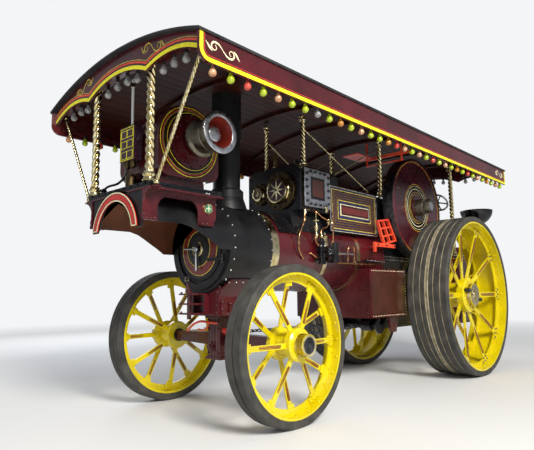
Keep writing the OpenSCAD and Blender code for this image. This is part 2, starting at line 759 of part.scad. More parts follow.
// Table plate with its two side brackets, and their feet on the hood
bracket_y = 400;
bracket_t = 14;
module table_brackets() color([0.33, 0.08, 0.11]) in_frame() {
  difference() {
    union() {
      block([table_x0, table_x1], [-table_half, table_half], [table_z - 12, table_z]);
      // ears for the stays
      block([stay_x - 26, stay_x + 26], [-table_half - 62, table_half + 62], [table_z - 12, table_z]);
      both_sides() {
        side_plate(bracket_y, bracket_y + bracket_t) difference() {
          polygon([
            [table_x0 + 15, table_z - 1], [table_x1 - 2, table_z - 1], [table_x1 - 2, 1692], [4040, 1692],
            [table_x0 + 15, 1760]
          ]);
          bracket_opening();
        }
        for (x = [[4030, 4178], [4612, table_x1 - 2]])
          block(x, [372, bracket_y + 30], [1690, 1722]);
        // webs across the front, hollowed towards the sign
        cross_plate(table_x1 - 14, table_x1 - 2) difference() {
          polygon([
            [bracket_y, 1712], [bracket_y + bracket_t, 1712], [table_half, table_z - 40],
            [table_half, table_z - 1], [bracket_y, table_z - 1]
          ]);
          translate([table_half + 22, 1810]) circle(r=112);
        }
      }
    }
    rod_x(smokebox_r + gap, 3900, 4800, 0, boiler_z);
  }
}

dynamo_half = 300;
// Casing seen from the side: round above, square with rounded corners below
module casing_outline() {
  c = 110;
  circle(r=dynamo_r);
  translate([-dynamo_r, c - dynamo_r]) square([2 * dynamo_r, dynamo_r - c]);
  translate([c - dynamo_r, -dynamo_r]) square([2 * (dynamo_r - c), dynamo_r]);
  for (s = [-1, 1])
    translate([s * (dynamo_r - c), c - dynamo_r]) circle(r=c);
}

module dynamo_body() color([0.32, 0.08, 0.11]) in_frame() {
  difference() {
    union() {
      translate([dynamo_x, 0, dynamo_z]) side_plate(-dynamo_half, dynamo_half) casing_outline();
      both_sides() {
        rod_y(262, dynamo_half, dynamo_half + 22, dynamo_x, dynamo_z);
        rod_y(205, dynamo_half, dynamo_half + 50, dynamo_x, dynamo_z);
        rod_y(150, dynamo_half, dynamo_half + 84, dynamo_x, dynamo_z);
        rod_y(66, dynamo_half, dynamo_half + 120, dynamo_x, dynamo_z);
        // foot rail on the table
        block([dynamo_x - 210, dynamo_x + 280], [150, 240], [table_top + gap, dynamo_z - dynamo_r + 10]);
      }
    }
    rod_y(32, -500, 500, dynamo_x, dynamo_z);
  }
}

pulley_y = [450, 712];
module dynamo_pulley() color([0.60, 0.58, 0.52]) in_frame() {
  rod_y(30, -dynamo_half - 90, pulley_y[0] + 200, dynamo_x, dynamo_z);
  // dished pulley with a waist between its two flanges
  turned_y(dynamo_x, dynamo_z) polygon([
    [28, pulley_y[0]], [165, pulley_y[0]], [165, pulley_y[0] + 22], [140, pulley_y[0] + 38],
    [132, pulley_y[0] + 125], [140, pulley_y[1] - 42], [180, pulley_y[1] - 24], [180, pulley_y[1]],
    [132, pulley_y[1]], [108, pulley_y[0] + 100], [28, pulley_y[0] + 100]
  ]);
  rod_y(64, pulley_y[0] + 90, pulley_y[0] + 190, dynamo_x, dynamo_z);
}

module dynamo_box() color([0.30, 0.10, 0.20]) in_frame() {
  block([4560, 4640], [-120, 100], [2250, 2550]);
  block([dynamo_x + dynamo_r + gap, 4560], [-60, 40], [2300, 2480]);
}

// CANOPY

module roof_section(half, drop) {
  difference() {
    translate([0, roof_cz]) circle(r=roof_r, $fn=720);
    translate([0, roof_cz]) circle(r=roof_r - roof_t, $fn=720);
    translate([-2 * roof_r, -2 * roof_r]) square([4 * roof_r, 2 * roof_r + drop]);
    for (s = [-1, 1])
      translate([s * (half + roof_r) - roof_r, 0]) square([2 * roof_r, 2 * roof_r]);
  }
}

module roof() color([0.10, 0.08, 0.08]) in_frame() {
  difference() {
    cross_plate(-canopy_rear - roof_lip, canopy_front + roof_lip) roof_section(canopy_half + roof_lip, 2700);
    rod_z(chimney_r + 16, 2900, 3400, chimney_x, 0);
  }
}

// Hoops across and rails along, under the roof
module roof_frame() color([0.20, 0.07, 0.07]) in_frame() {
  for (x = [-canopy_rear + 110, rear_column[0], 150, third_column[0], 2050, 2790, 3850, front_column[0]])
    difference() {
      cross_plate(x - 20, x + 20) difference() {
        translate([0, roof_cz]) circle(r=roof_r - roof_t - gap, $fn=720);
        translate([0, roof_cz]) circle(r=roof_r - roof_t - 46, $fn=720);
        translate([-2 * roof_r, -2 * roof_r]) square([4 * roof_r, 2 * roof_r + 2700]);
        for (s = [-1, 1])
          translate([s * (canopy_half - fascia_t + roof_r) - roof_r, 0]) square([2 * roof_r, 2 * roof_r]);
      }
    }
}

module side_fascias() color([0.33, 0.08, 0.12]) in_frame() {
  corner = 90;
  both_sides() side_plate(canopy_half - fascia_t, canopy_half) polygon(concat(
    [[-canopy_rear, board_top], [-canopy_rear, fascia_low]],
    [for (a = [0 : 10 : 90])
      [canopy_front - corner + corner * sin(a), fascia_low + corner - corner * cos(a)]],
    [[canopy_front, board_top]]
  ));
  // rail that the lamps hang from
  both_sides()
    block([lamp_x0 - 40, lamp_x1 + 40], [lamp_y - 18, canopy_half - fascia_t], [lamp_rail, lamp_rail + 20]);
}
lamp_pitch = 174;
lamp_count = 34;
lamp_x1 = canopy_front - 163;
lamp_x0 = lamp_x1 - (lamp_count - 1) * lamp_pitch;
lamp_y = canopy_half - fascia_t - 26;
lamp_rail = fascia_low + 40;

// Arches in the lower edge of an end board: one over the middle and one at each side
end_recess = 33;
mid_crown = fascia_low + 257;
mid_arch_r = 1070;
side_crown = fascia_low + 199;
side_arch_r = 800;
side_arch_y = 745;
module arches(grow) {
  translate([0, mid_crown - mid_arch_r]) circle(r=mid_arch_r + grow, $fn=720);
  for (s = [-1, 1])
    translate([s * side_arch_y, side_crown - side_arch_r]) circle(r=side_arch_r + grow, $fn=720);
}
function arch_z(y) = max(
  mid_crown - mid_arch_r + sqrt(pow(mid_arch_r, 2) - y * y),
  side_crown - side_arch_r + sqrt(pow(side_arch_r, 2) - pow(abs(y) - side_arch_y, 2))
);

arch_lamps = [80, 240, 610, 750, 900];
batten = [16, 36];
batten_spans = [[-300, 300], [560, 1010], [-1010, -560]];
lamp_back = 70;
module end_fascias() color([0.33, 0.08, 0.12]) in_frame() {
  inner = canopy_half - fascia_t - gap;
  for (e = [[canopy_front - end_recess, -1], [end_recess - canopy_rear, 1]]) {
    faces = [min(e[0], e[0] + e[1] * fascia_t), max(e[0], e[0] + e[1] * fascia_t)];
    cross_plate(faces[0], faces[1]) difference() {
      translate([0, roof_cz]) circle(r=roof_r - roof_t - gap, $fn=720);
      translate([-2 * roof_r, -2 * roof_r]) square([4 * roof_r, 2 * roof_r + fascia_low + 82]);
      for (s = [-1, 1])
        translate([s * (inner + roof_r) - roof_r, 0]) square([2 * roof_r, 2 * roof_r]);
      arches(0);
    }
    // battens bent along the arches, for the lamps
    back = e[0] + e[1] * (fascia_t + lamp_back);
    cross_plate(min(back, e[0] + e[1]), max(back, e[0] + e[1])) for (span = batten_spans)
      intersection() {
        difference() {
          arches(batten[1]);
          arches(batten[0]);
        }
        translate([span[0], fascia_low + 80]) square([span[1] - span[0], 300]);
      }
  }
}

// Section of a column twisted from three cords
module strands(r)
  polygon([for (k = [0 : 2], s = [-1, 1]) [r * cos(k * 120 + s * 26), r * sin(k * 120 + s * 26)]]);

module turned_end(r) rotate_extrude() polygon([
  [0, 0], [r * 1.5, 0], [r * 1.5, r * 0.5], [r * 1.2, r * 0.8], [r * 1.4, r * 1.5], [r * 1.2, r * 2.2],
  [0, r * 2.2]
]);

module twisted_column(r, pitch, x, y, z0) translate([x, y, z0]) {
  end = r * 1.6;
  len = hoop_low(abs(y) + r * 1.5) - gap - z0;
  turned_end(r);
  translate([0, 0, len]) mirror([0, 0, 1]) turned_end(r);
  turns = (len - 2 * end) / pitch;
  translate([0, 0, end])
    linear_extrude(height=len - 2 * end, twist=360 * turns, slices=ceil(turns * 7), $fn=6) strands(r);
}

front_column = [canopy_front - 108, 435];
middle_column = [2600, 280];
third_column = [1150, firebox_half + 35];
rear_column = [-770, tender_half - 60];
module columns() color([0.80, 0.70, 0.35]) in_frame() {
  for (s = [-1, 1]) {
    twisted_column(34, 200, front_column[0], s * front_column[1], table_top);
    twisted_column(26, 150, middle_column[0], s * middle_column[1], cyl_top);
    twisted_column(30, 180, third_column[0], s * third_column[1], hornplate_top);
    twisted_column(34, 180, rear_column[0], s * rear_column[1], tender_top);
  }
}
function hoop_low(y) = roof_cz + sqrt(pow(roof_r - roof_t - 46, 2) - y * y);

stay_r = 15;
stay_x = front_column[0];
stay_y = canopy_half - 78;
stay_pitch = 110;
module twisted_stay(r, a, b) {
  d = b - a;
  len = norm(d);
  translate(a) rotate([0, acos(d[2] / len), atan2(d[1], d[0])])
    linear_extrude(height=len, twist=360 * len / stay_pitch, slices=ceil(len / stay_pitch * 6), $fn=6)
      strands(r);
  translate(a) sphere(r=r * 1.7, $fn=24);
}

module stays() color([0.80, 0.70, 0.35]) in_frame() {
  for (s = [-1, 1])
    twisted_stay(stay_r, [stay_x, s * 535, table_z + stay_r * 1.7 + gap],
        [stay_x, s * stay_y, hoop_low(stay_y + 10) - 6]);
}

module lamp() rotate_extrude($fn=24) polygon([
  [0, -gap], [17, -gap], [17, -32], [30, -62], [32, -76], [24, -96], [0, -104]
]);

module lamps() color([0.75, 0.80, 0.15]) in_frame() both_sides() {
  for (i = [0 : lamp_count - 1])
    translate([lamp_x0 + i * lamp_pitch, lamp_y, lamp_rail]) lamp();
  for (y = arch_lamps, x = [canopy_front - end_recess - fascia_t - 48,
      end_recess + fascia_t + 48 - canopy_rear])
    translate([x, y, min(arch_z(y - 17), arch_z(y + 17)) + batten[0] - gap]) lamp();
}

// Pump and its pipes at the left side
module feed_pump() color([0.12, 0.12, 0.13]) in_frame() {
  rod_z(40, 1430, 1650, 2330, barrel_r + 60);
  rod_x(30, 2290, 2440, barrel_r + 60, 1560);
  block([2290, 2370], [barrel_r + gap, barrel_r + 40], [1520, 1570]);
}

module pipes() color([0.80, 0.58, 0.35]) in_frame() {
  rod_z(8, 1650, 2000, 2350, barrel_r + 60);
  rod_x(14, 1500, 2290, barrel_r + 60, 1430);
}

// Open frame that leans along the flywheel's rim, with the rail under it
bracket_corners = [[1490, 1980], [1224, 2022], [1038, 1750], [1345, 1682]];
function between(a, b, t) = a + (b - a) * t;
function on_frame(u, v) = between(
  between(bracket_corners[0], bracket_corners[1], u), between(bracket_corners[3], bracket_corners[2], u), v
);
module red_bracket() color([0.85, 0.25, 0.12]) in_frame() {
  difference() {
    side_plate(495, 530) polygon(bracket_corners);
    for (u = [[0.10, 0.46], [0.54, 0.90]], v = [[0.07, 0.32], [0.38, 0.64], [0.70, 0.93]])
      side_plate(490, 540) polygon([
        on_frame(u[0], v[0]), on_frame(u[1], v[0]), on_frame(u[1], v[1]), on_frame(u[0], v[1])
      ]);
  }
  block([1080, 1560], [497, 528], [1655, 1702]);
  block([1536, 1560], [497, 528], [1590, 1710]);
  // arm from the boiler
  difference() {
    block([1350, 1420], [300, 500], [1655, 1685]);
    rod_x(barrel_r + gap, 1300, 1500, 0, boiler_z);
  }
}

module roof_tray() color([0.85, 0.25, 0.15]) in_frame() {
  block([1010, 1400], [-20, 220], [2900, 2912]);
  for (bar_z = [[2886, 2926, 740], [2806, 2822, 650]])
    block([985, 1015], [95, bar_z[2]], [bar_z[0], bar_z[1]]);
  for (y = [110, 630])
    block([990, 1010], [y - 10, y + 10], [2810, roof_under(y + 10) - gap]);
}

boiler_barrel();
boiler_bands();
firebox();
smokebox();
smokebox_door();
smokebox_hood();
arch_sign();
chimney();
cylinder_block();
cylinder_covers();
safety_valves();
motion_boards();
slide_motion();
crankshaft();
flywheel();
gear_guard();
belly_tank();
perch_bracket();
front_axle();
front_wheel_left();
front_wheel_right();
front_tyre_left();
front_tyre_right();
rear_axle();
rear_wheel_left();
rear_wheel_right();
rear_tyre_left();
rear_tyre_right();
tender();
coal_bunker();
drawbar();
driver_seat();
hand_levers();
steering_column();
steering_shaft();
steering_chains();
dynamo_table();
table_brackets();
dynamo_body();
dynamo_pulley();
dynamo_box();
roof();
roof_frame();
side_fascias();
end_fascias();
columns();
stays();
lamps();
feed_pump();
pipes();
red_bracket();
roof_tray();
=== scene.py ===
# %% [markdown]
# A steam road locomotive, dressed over its engineering model. The frame holds every solid part in its
# place. This script gives each of them its paint or metal, and adds what a model of solids leaves out:
# lining, scrolls, rivets, nuts, coloured bulbs, copper pipes and the rope-twisted brass columns.

import bpy
import numpy as np
from mathutils import Matrix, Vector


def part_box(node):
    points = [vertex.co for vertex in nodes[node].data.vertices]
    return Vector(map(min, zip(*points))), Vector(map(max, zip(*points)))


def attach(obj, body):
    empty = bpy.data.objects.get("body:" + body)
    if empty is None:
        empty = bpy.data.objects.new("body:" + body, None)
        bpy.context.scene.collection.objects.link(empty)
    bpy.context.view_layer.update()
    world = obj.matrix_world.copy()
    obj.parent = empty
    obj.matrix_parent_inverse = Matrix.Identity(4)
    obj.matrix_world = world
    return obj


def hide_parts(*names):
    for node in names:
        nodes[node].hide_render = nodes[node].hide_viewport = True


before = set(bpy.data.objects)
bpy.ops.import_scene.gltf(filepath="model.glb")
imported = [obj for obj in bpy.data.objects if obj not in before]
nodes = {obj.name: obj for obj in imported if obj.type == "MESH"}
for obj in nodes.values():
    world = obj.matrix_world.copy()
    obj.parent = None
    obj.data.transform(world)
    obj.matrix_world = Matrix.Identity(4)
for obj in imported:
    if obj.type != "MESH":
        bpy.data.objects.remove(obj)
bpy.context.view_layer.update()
print("solid parts:", len(nodes))

# %% [markdown]
# Every length below is in metres and x is counted ahead of the rear axle, as on a builder's drawing. The
# frame has its origin in the middle of the machine, so one shift takes drawing places to frame places.

# %% Drawing dimensions
low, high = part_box("rear_axle")
REAR_AXLE = np.array([(low[0] + high[0]) / 2, 0.0, 0.0])
WHEELBASE = 3.55
BOILER_Z = 1.545
SMOKEBOX_R = 0.432
CRANK_X, CRANK_Z = 0.53, 2.236
FLYWHEEL_FACE = 0.585
SIDE = 1.178  # half width of the canopy
AT_FRONT, AT_REAR = (WHEELBASE, 0, 0.678), (0, 0, 1.05)  # middles of the axles
X, Y, Z = np.eye(3)
print("rear axle lies at x =", round(float(REAR_AXLE[0]), 4))

# %% [markdown]
# The camera stands low at the machine's left front corner, a little over a metre from the ground, and looks
# slightly upwards. Its place and lens were solved from the round wheels and the straight canopy.

# %% Camera
EYE = (6.8637, 3.7591, 1.1277)
VIEW_DIRECTION = np.array([-0.7189, -0.6828, 0.1306])
VIEW_RIGHT = np.array([-0.6897, 0.7241, -0.0105])
LENS_MM = 33.89


def placed(name, data, right, up, back, place):
    """Object at a place. The columns of its turn are its right, its up, and the way opposite to its look."""
    turn = np.eye(4)
    turn[:3, 0], turn[:3, 1], turn[:3, 2], turn[:3, 3] = right, up, back, place
    made = bpy.data.objects.new(name, data)
    made.matrix_world = Matrix(turn.tolist())
    bpy.context.scene.collection.objects.link(made)
    return made


def aim_camera():
    """Up is square to the look and to the written right, and right is then squared to both."""
    back = -VIEW_DIRECTION / np.linalg.norm(VIEW_DIRECTION)
    up = np.cross(back, VIEW_RIGHT)
    up /= np.linalg.norm(up)
    data = bpy.data.cameras.new("camera")
    data.lens, data.sensor_width, data.sensor_fit, data.clip_end = LENS_MM, 36, "HORIZONTAL", 200
    camera = placed("camera", data, np.cross(up, back), up, back, EYE + REAR_AXLE)
    bpy.context.scene.camera = camera
    return camera


print("camera at", [round(v, 3) for v in aim_camera().matrix_world.translation])

# %% [markdown]
# All the finishes are built from nodes. One helper turns a written colour into the linear values that the
# shaders work in, one adds a node, and both are used by every finish below.


# %% Colour and node helpers
def linear(code):
    """sRGB hex to linear: c/12.92 below 0.04045, else ((c + 0.055) / 1.055) to the power 2.4."""
    c = np.array([int(code[i : i + 2], 16) for i in (1, 3, 5)]) / 255
    c = np.where(c <= 0.04045, c / 12.92, ((c + 0.055) / 1.055) ** 2.4)
    return (*c.tolist(), 1.0)


def add(tree, kind, values=None, links=None, **settings):
    """Adds a node, sets its own settings and its sockets' values, and links other nodes' outputs to it."""
    made = tree.nodes.new(kind)
    for key, value in settings.items():
        setattr(made, key, value)
    for key, value in (values or {}).items():
        made.inputs[key].default_value = value
    for key, output in (links or {}).items():
        tree.links.new(output, made.inputs[key])
    return made


def new_finish(name, values):
    """A material with one Principled shader, and the place on the object as its pattern coordinate."""
    material = bpy.data.materials.new(name)
    material.use_nodes = True
    tree = material.node_tree
    tree.nodes.clear()
    shader = add(tree, "ShaderNodeBsdfPrincipled", values)
    add(tree, "ShaderNodeOutputMaterial", links={"Surface": shader.outputs[0]})
    return material, tree, shader, add(tree, "ShaderNodeTexCoord").outputs["Object"]


def cloudy(tree, place, size, detail=3.0, stretch=(1, 1, 1)):
    """Noise whose patches are about size metres across, drawn out along an axis where stretch is under 1."""
    scaled = add(tree, "ShaderNodeMapping", {"Scale": stretch}, {"Vector": place}).outputs[0]
    return add(tree, "ShaderNodeTexNoise", {"Scale": 1 / size, "Detail": detail},
               {"Vector": scaled}).outputs["Fac"]


def blend_of(tree, factor, dark, light, low=0.35, high=0.65):
    """Colour that runs from dark to light, both sRGB hex, as factor runs from low to high."""
    ramp = add(tree, "ShaderNodeValToRGB", links={"Fac": factor})
    for stop, place, code in zip(ramp.color_ramp.elements, (low, high), (dark, light)):
        stop.position, stop.color = place, linear(code)
    return ramp.outputs["Color"]


def ranged(tree, factor, low, high):
    """Factor of 0.3 to 0.7 spread over low to high, for a roughness that varies."""
    values = {"From Min": 0.3, "From Max": 0.7, "To Min": low, "To Max": high}
    return add(tree, "ShaderNodeMapRange", values, {"Value": factor}).outputs[0]


def relief(tree, shader, height, depth, strength=1.0):
    """Bump of depth metres."""
    bump = add(tree, "ShaderNodeBump", {"Distance": depth, "Strength": strength}, {"Height": height})
    tree.links.new(bump.outputs[0], shader.inputs["Normal"])


def finish(name, dark, light, patch, values, rough=None, dust=None, grain=None, span=(0.35, 0.65),
           stretch=(1, 1, 1)):
    """Tone drifts from dark to light in clouds of (size, detail) patch. Roughness follows the same clouds or
    those of dust, between the two values of rough. grain is a fine bump: (size, detail, depth, strength)."""
    material, tree, shader, place = new_finish(name, values)
    cloud = cloudy(tree, place, *patch, stretch)
    tree.links.new(blend_of(tree, cloud, dark, light, *span), shader.inputs["Base Color"])
    if rough:
        cloud = cloudy(tree, place, *dust) if dust else cloud
        tree.links.new(ranged(tree, cloud, *rough), shader.inputs["Roughness"])
    if grain:
        relief(tree, shader, cloudy(tree, place, *grain[:2], stretch), *grain[2:])
    return material


# %% [markdown]
# Coach enamel covers most of the machine: several coats brushed out, flatted and varnished. Under the
# varnish the colour drifts a little from panel to panel, and the surface has a faint orange peel of about
# 12 mm. Road dust dulls it in patches, so roughness follows its own clouds.


# %% Coach enamel
def coach_enamel(name, dark, light, rough=0.22, varnish=0.35):
    """Enamel with drifting colour, patchy dust and orange peel under a coat of varnish."""
    values = {"Specular IOR Level": 0.5, "Coat Weight": varnish, "Coat Roughness": 0.08}
    return finish(name, dark, light, (0.35, 4), values, (rough, rough + 0.16), (0.09, 5),
                  (0.012, 2, 0.0004, 0.35))


maroon = coach_enamel("maroon coach enamel", "#3A080D", "#521017")
purple = coach_enamel("purple lake enamel", "#260C1E", "#3A142A", varnish=0.1)
lake = coach_enamel("crimson lake enamel", "#340C16", "#4A141F")
brown = coach_enamel("brown panel enamel", "#3A1B14", "#4C261B", 0.3)
blue = coach_enamel("dark blue edging enamel", "#161C3C", "#222C58")
yellow = coach_enamel("lemon yellow enamel", "#D2BE00", "#E6D208", 0.2)
scarlet = coach_enamel("signal red enamel", "#B01A10", "#C62A1C", 0.3)
flame = coach_enamel("orange red enamel", "#D6371B", "#EE5433", 0.35)
white = coach_enamel("white enamel", "#D9D9D6", "#ECECEA", 0.3)
name_enamel = coach_enamel("name plate enamel", "#5A1812", "#74261C")
band_enamel = coach_enamel("door band enamel", "#5A120E", "#74201A")
pulley_red = coach_enamel("red brown pulley enamel", "#6E1E14", "#8C2E20", 0.35)

# %% [markdown]
# Lining is done by hand with a long thin brush, in oil colours that dry to a low gloss: cream, gold yellow
# and red. The strokes are thin, so their colour changes only a little along their length.


# %% Lining colours
def lining(name, dark, light):
    """Brushed oil line: two near tones along the stroke, low gloss."""
    return finish(name, dark, light, (0.03, 2), {"Roughness": 0.42}, grain=(0.008, 1, 0.0003, 0.3))


cream_line = lining("cream lining", "#DDD6A8", "#F0EAC6")
gold_line = lining("gold yellow lining", "#C8AE3A", "#E0CC58")
dull_gold = lining("aged gold lining", "#8F7A34", "#A8924A")
red_line = lining("red lining", "#A82018", "#C4362A")
yellow_line = lining("yellow lining", "#E2D814", "#F3EA2C")
dark_line = lining("brown lining", "#451C14", "#59281C")
green_line = lining("olive green lining", "#5A6A22", "#7C8A3C")
spoke_red = lining("brick red lining", "#7A2E1C", "#94402A")

# %% [markdown]
# Heat takes the gloss off the front of the boiler. The smokebox, chimney and hood are in a heat-proof
# black: nearly matt, greyed by ash in soft clouds. The engine's castings are a harder satin black.


# %% Blacks
def black_paint(name, dark, light, rough_low, rough_high, peel):
    """Black paint with grey clouds of ash, rougher where it is greyer."""
    values = {"Specular IOR Level": 0.45}
    return finish(name, dark, light, (0.22, 6), values, (rough_low, rough_high), grain=(peel, 3, 0.0006, 0.4))


heat_black = black_paint("heat proof black", "#101012", "#1C1C1E", 0.3, 0.46, 0.01)
satin_black = black_paint("satin black enamel", "#0C0C0F", "#16161A", 0.22, 0.36, 0.006)
gloss_black = black_paint("gloss black enamel", "#09090C", "#101014", 0.12, 0.22, 0.015)
lamp_black = black_paint("lamp black", "#0C0A0A", "#151212", 0.6, 0.8, 0.006)
roof_felt = black_paint("tarred roof felt", "#17171A", "#2A2A2C", 0.5, 0.7, 0.01)
hood_brown = black_paint("rust brown hood lining", "#4A2412", "#6B3A1C", 0.5, 0.7, 0.01)

# %% [markdown]
# The bright work is brass, copper and steel. Brass is polished by hand, so it is mirror-like with soft
# smears. Copper pipes are the same but redder. Iron, bronze and oiled steel are duller and more worn.


# %% Metals
def bright_metal(name, dark, light, rough_low, rough_high, mark, depth=0.0002):
    """Metal with smeared polish: roughness and tone follow clouds, and fine marks give the bump."""
    grain = (mark, 2, depth, 0.3)
    return finish(name, dark, light, (0.05, 4), {"Metallic": 1.0}, (rough_low, rough_high), grain=grain)


brass = bright_metal("polished brass", "#BEAB72", "#EAE0B8", 0.14, 0.24, 0.004)
bronze = bright_metal("browned bronze", "#3E3324", "#6B5A3C", 0.3, 0.48, 0.005)
copper = bright_metal("polished copper", "#B07A4E", "#D6A272", 0.15, 0.3, 0.004)
steel = bright_metal("bright machined steel", "#B0B2B6", "#D2D4D8", 0.24, 0.36, 0.003)
cast_iron = bright_metal("worn cast iron", "#5D574B", "#8B8577", 0.36, 0.55, 0.006, 0.0006)
dark_steel = bright_metal("oiled dark steel", "#3C3D40", "#5A5B5E", 0.35, 0.5, 0.004)

# %% [markdown]
# Tyres are solid rubber rings, grey with road dust. The rubber itself is matt, with pale clouds of about a
# hand's width. In the grooves the dust lies thick, and is as rough as a surface can be.

# %% Rubber and dust
rubber = finish("dusty tyre rubber", "#33322F", "#575550", (0.12, 8), {"Specular IOR Level": 0.3},
                (0.62, 0.85), grain=(0.005, 4, 0.001, 0.5), span=(0.3, 0.75))
road_dust = finish("pale road dust", "#8E8468", "#C8BC9C", (0.08, 5), {"Roughness": 0.95},
                   grain=(0.006, 3, 0.001, 1.0))

# %% [markdown]
# The canopy's underside is varnished tongue-and-groove boarding that runs lengthwise. Each board is 105 mm
# wide and has its own tone, with grain drawn out along it and a dark groove at each joint.

# %% Boards
BOARD_PITCH = 0.105


def canopy_boards():
    """y over the board's width: its whole part picks the tone, its rest makes the groove."""
    material, tree, shader, place = new_finish("varnished pine boards", {"Specular IOR Level": 0.2})

    def math(operation, values=None, links=None):
        return add(tree, "ShaderNodeMath", values, links, operation=operation).outputs[0]

    width = add(tree, "ShaderNodeSeparateXYZ", links={"Vector": place}).outputs["Y"]
    count = math("DIVIDE", {1: BOARD_PITCH}, {0: width})
    board = math("FLOOR", links={0: count})
    tone = add(tree, "ShaderNodeTexWhiteNoise", links={"W": board}, noise_dimensions="1D").outputs["Value"]
    grain = cloudy(tree, place, 0.02, 6, (0.06, 1, 1))
    mixed = math("MULTIPLY_ADD", {1: 0.35}, {0: tone, 2: grain})
    wood = blend_of(tree, mixed, "#1E0905", "#431709", 0.4, 0.95)
    groove = math("LESS_THAN", {1: 0.07}, {0: math("FRACT", links={0: count})})
    colour = add(tree, "ShaderNodeMix", {7: linear("#120806")}, {0: groove, 6: wood}, data_type="RGBA")
    tree.links.new(colour.outputs[2], shader.inputs["Base Color"])
    tree.links.new(ranged(tree, grain, 0.38, 0.55), shader.inputs["Roughness"])
    relief(tree, shader, math("SUBTRACT", {0: 1.0}, {1: groove}), 0.003, 0.7)
    return material


boards = canopy_boards()

# %% [markdown]
# Coloured bulbs hang all round the canopy. Each is a clear bulb dipped in tinted lacquer, so it lets some
# light through, has a hard gloss, and its colour is deepest where the lacquer has run.


# %% Bulb lacquer
def lacquer(name, dark, light, clear):
    """Tinted glass: partly see-through, with the tint deeper in small clouds."""
    values = {"Transmission Weight": clear, "Roughness": 0.08, "Coat Weight": 0.6, "IOR": 1.5}
    return finish(name, dark, light, (0.03, 1), values)


bulb_finish = {
    "green": lacquer("green bulb lacquer", "#A8BE10", "#C6DA2C", 0.2),
    "peach": lacquer("peach bulb lacquer", "#C98A5C", "#E8B88E", 0.25),
    "amber": lacquer("amber bulb lacquer", "#C07818", "#DC9A34", 0.2),
    "rose": lacquer("red bulb lacquer", "#C2352C", "#DE5A4A", 0.2),
    "clear": lacquer("grey frosted bulb glass", "#8F8F8C", "#C2C2C0", 0.45),
}
badge_glass = lacquer("green badge glass", "#1F6B50", "#3FA07C", 0.1)

# %% [markdown]
# Every solid of the frame gets the finish that its real counterpart has.

# %% Finishes of the solid parts
FINISHES = [
    (maroon, "boiler_barrel gear_guard belly_tank perch_bracket front_axle tender coal_bunker"
             " table_brackets"),
    (maroon, "dynamo_body side_fascias end_fascias"),
    (lake, "flywheel"),
    (gloss_black, "driver_seat"),
    (heat_black, "smokebox smokebox_hood chimney smokebox_door"),
    (satin_black, "firebox cylinder_block steering_column steering_shaft feed_pump drawbar dynamo_table"),
    (brass, "boiler_bands safety_valves columns stays"),
    (bronze, "cylinder_covers"),
    (copper, "pipes"),
    (steel, "slide_motion crankshaft hand_levers"),
    (dark_steel, "rear_axle steering_chains"),
    (cast_iron, "dynamo_pulley"),
    (purple, "motion_boards dynamo_box"),
    (yellow, "front_wheel_left front_wheel_right rear_wheel_left rear_wheel_right"),
    (rubber, "front_tyre_left front_tyre_right rear_tyre_left rear_tyre_right"),
    (boards, "roof_frame"),
    (roof_felt, "roof"),
    (flame, "red_bracket roof_tray"),
    (scarlet, "arch_sign"),
    (bulb_finish["green"], "lamps"),
]
for material, names in FINISHES:
    for name in names.split():
        nodes[name].data.materials.clear()
        nodes[name].data.materials.append(material)
unpainted = sorted(n for n in nodes if not nodes[n].data.materials[0].use_nodes)
print("painted", sum(len(names.split()) for _, names in FINISHES), "solids, left over:", unpainted)

# %% [markdown]
# New pieces are surfaces on a grid of points. A net of rings becomes quads, a closed body gets its two ends
# fanned shut, and any body that came out inside out is turned round by the sign of its volume.


# %% From grids of points to mesh objects
def net(rings, ring=False):
    """rings[i, j] is point j of ring i. Quads join neighbours, and j closes round. ring closes i as well,
    and else the first and last ring are fanned to their middle point. Volume below zero turns the faces."""
    m, n = rings.shape[:2]
    index = np.arange(m * n).reshape(m, n)
    below, above = (index, np.roll(index, -1, 0)) if ring else (index[:-1], index[1:])
    quads = np.stack([below, np.roll(below, -1, 1), np.roll(above, -1, 1), above], -1).reshape(-1, 4)
    points = rings.reshape(-1, 3)
    faces = quads.tolist()
    if not ring:
        points = np.vstack([points, rings[[0, -1]].mean(1)])
        first, last = index[0], index[-1]
        faces += np.stack([np.roll(first, -1), first, np.full(n, m * n)], -1).tolist()
        faces += np.stack([last, np.roll(last, -1), np.full(n, m * n + 1)], -1).tolist()
    a, b, c, d = (points[quads[:, k]] - points.mean(0) for k in range(4))
    volume = np.einsum("ij,ij->", a, np.cross(b, c)) + np.einsum("ij,ij->", a, np.cross(c, d))
    if volume < 0:
        faces = [face[::-1] for face in faces]
    return points, faces


def repeated(points, faces, count):
    """The faces of one body for count copies of it, whose points stand one after the other."""
    return [[v + k * points for v in face] for k in range(count) for face in faces]


def together(*shapes):
    """Several bodies as one: each body's face numbers are moved up by the points before it."""
    starts = np.cumsum([0] + [len(s[0]) for s in shapes[:-1]])
    faces = [[v + start for v in face] for (_, own), start in zip(shapes, starts) for face in own]
    return np.vstack([s[0] for s in shapes]), faces


def mirrored(shape):
    """The same body on the machine's other side: y changes its sign and the faces turn round."""
    return shape[0] * [1, -1, 1], [face[::-1] for face in shape[1]]


def both(*shapes):
    """The bodies and their mirror images."""
    shape = together(*shapes)
    return together(shape, mirrored(shape))


def put(name, shape, material, body="engine", smooth=True):
    """One mesh object from a body, with x moved from the drawing to the frame, riding on a frame body."""
    points, faces = shape
    data = bpy.data.meshes.new(name)
    data.from_pydata((points + REAR_AXLE).tolist(), [], faces)
    data.polygons.foreach_set("use_smooth", np.full(len(data.polygons), smooth))
    if smooth:
        data.set_sharp_from_angle(angle=np.radians(38))
    data.materials.append(material)
    piece = bpy.data.objects.new(name, data)
    bpy.context.scene.collection.objects.link(piece)
    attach(piece, body)
    print(f"{name}: {len(faces)} faces")
    return piece


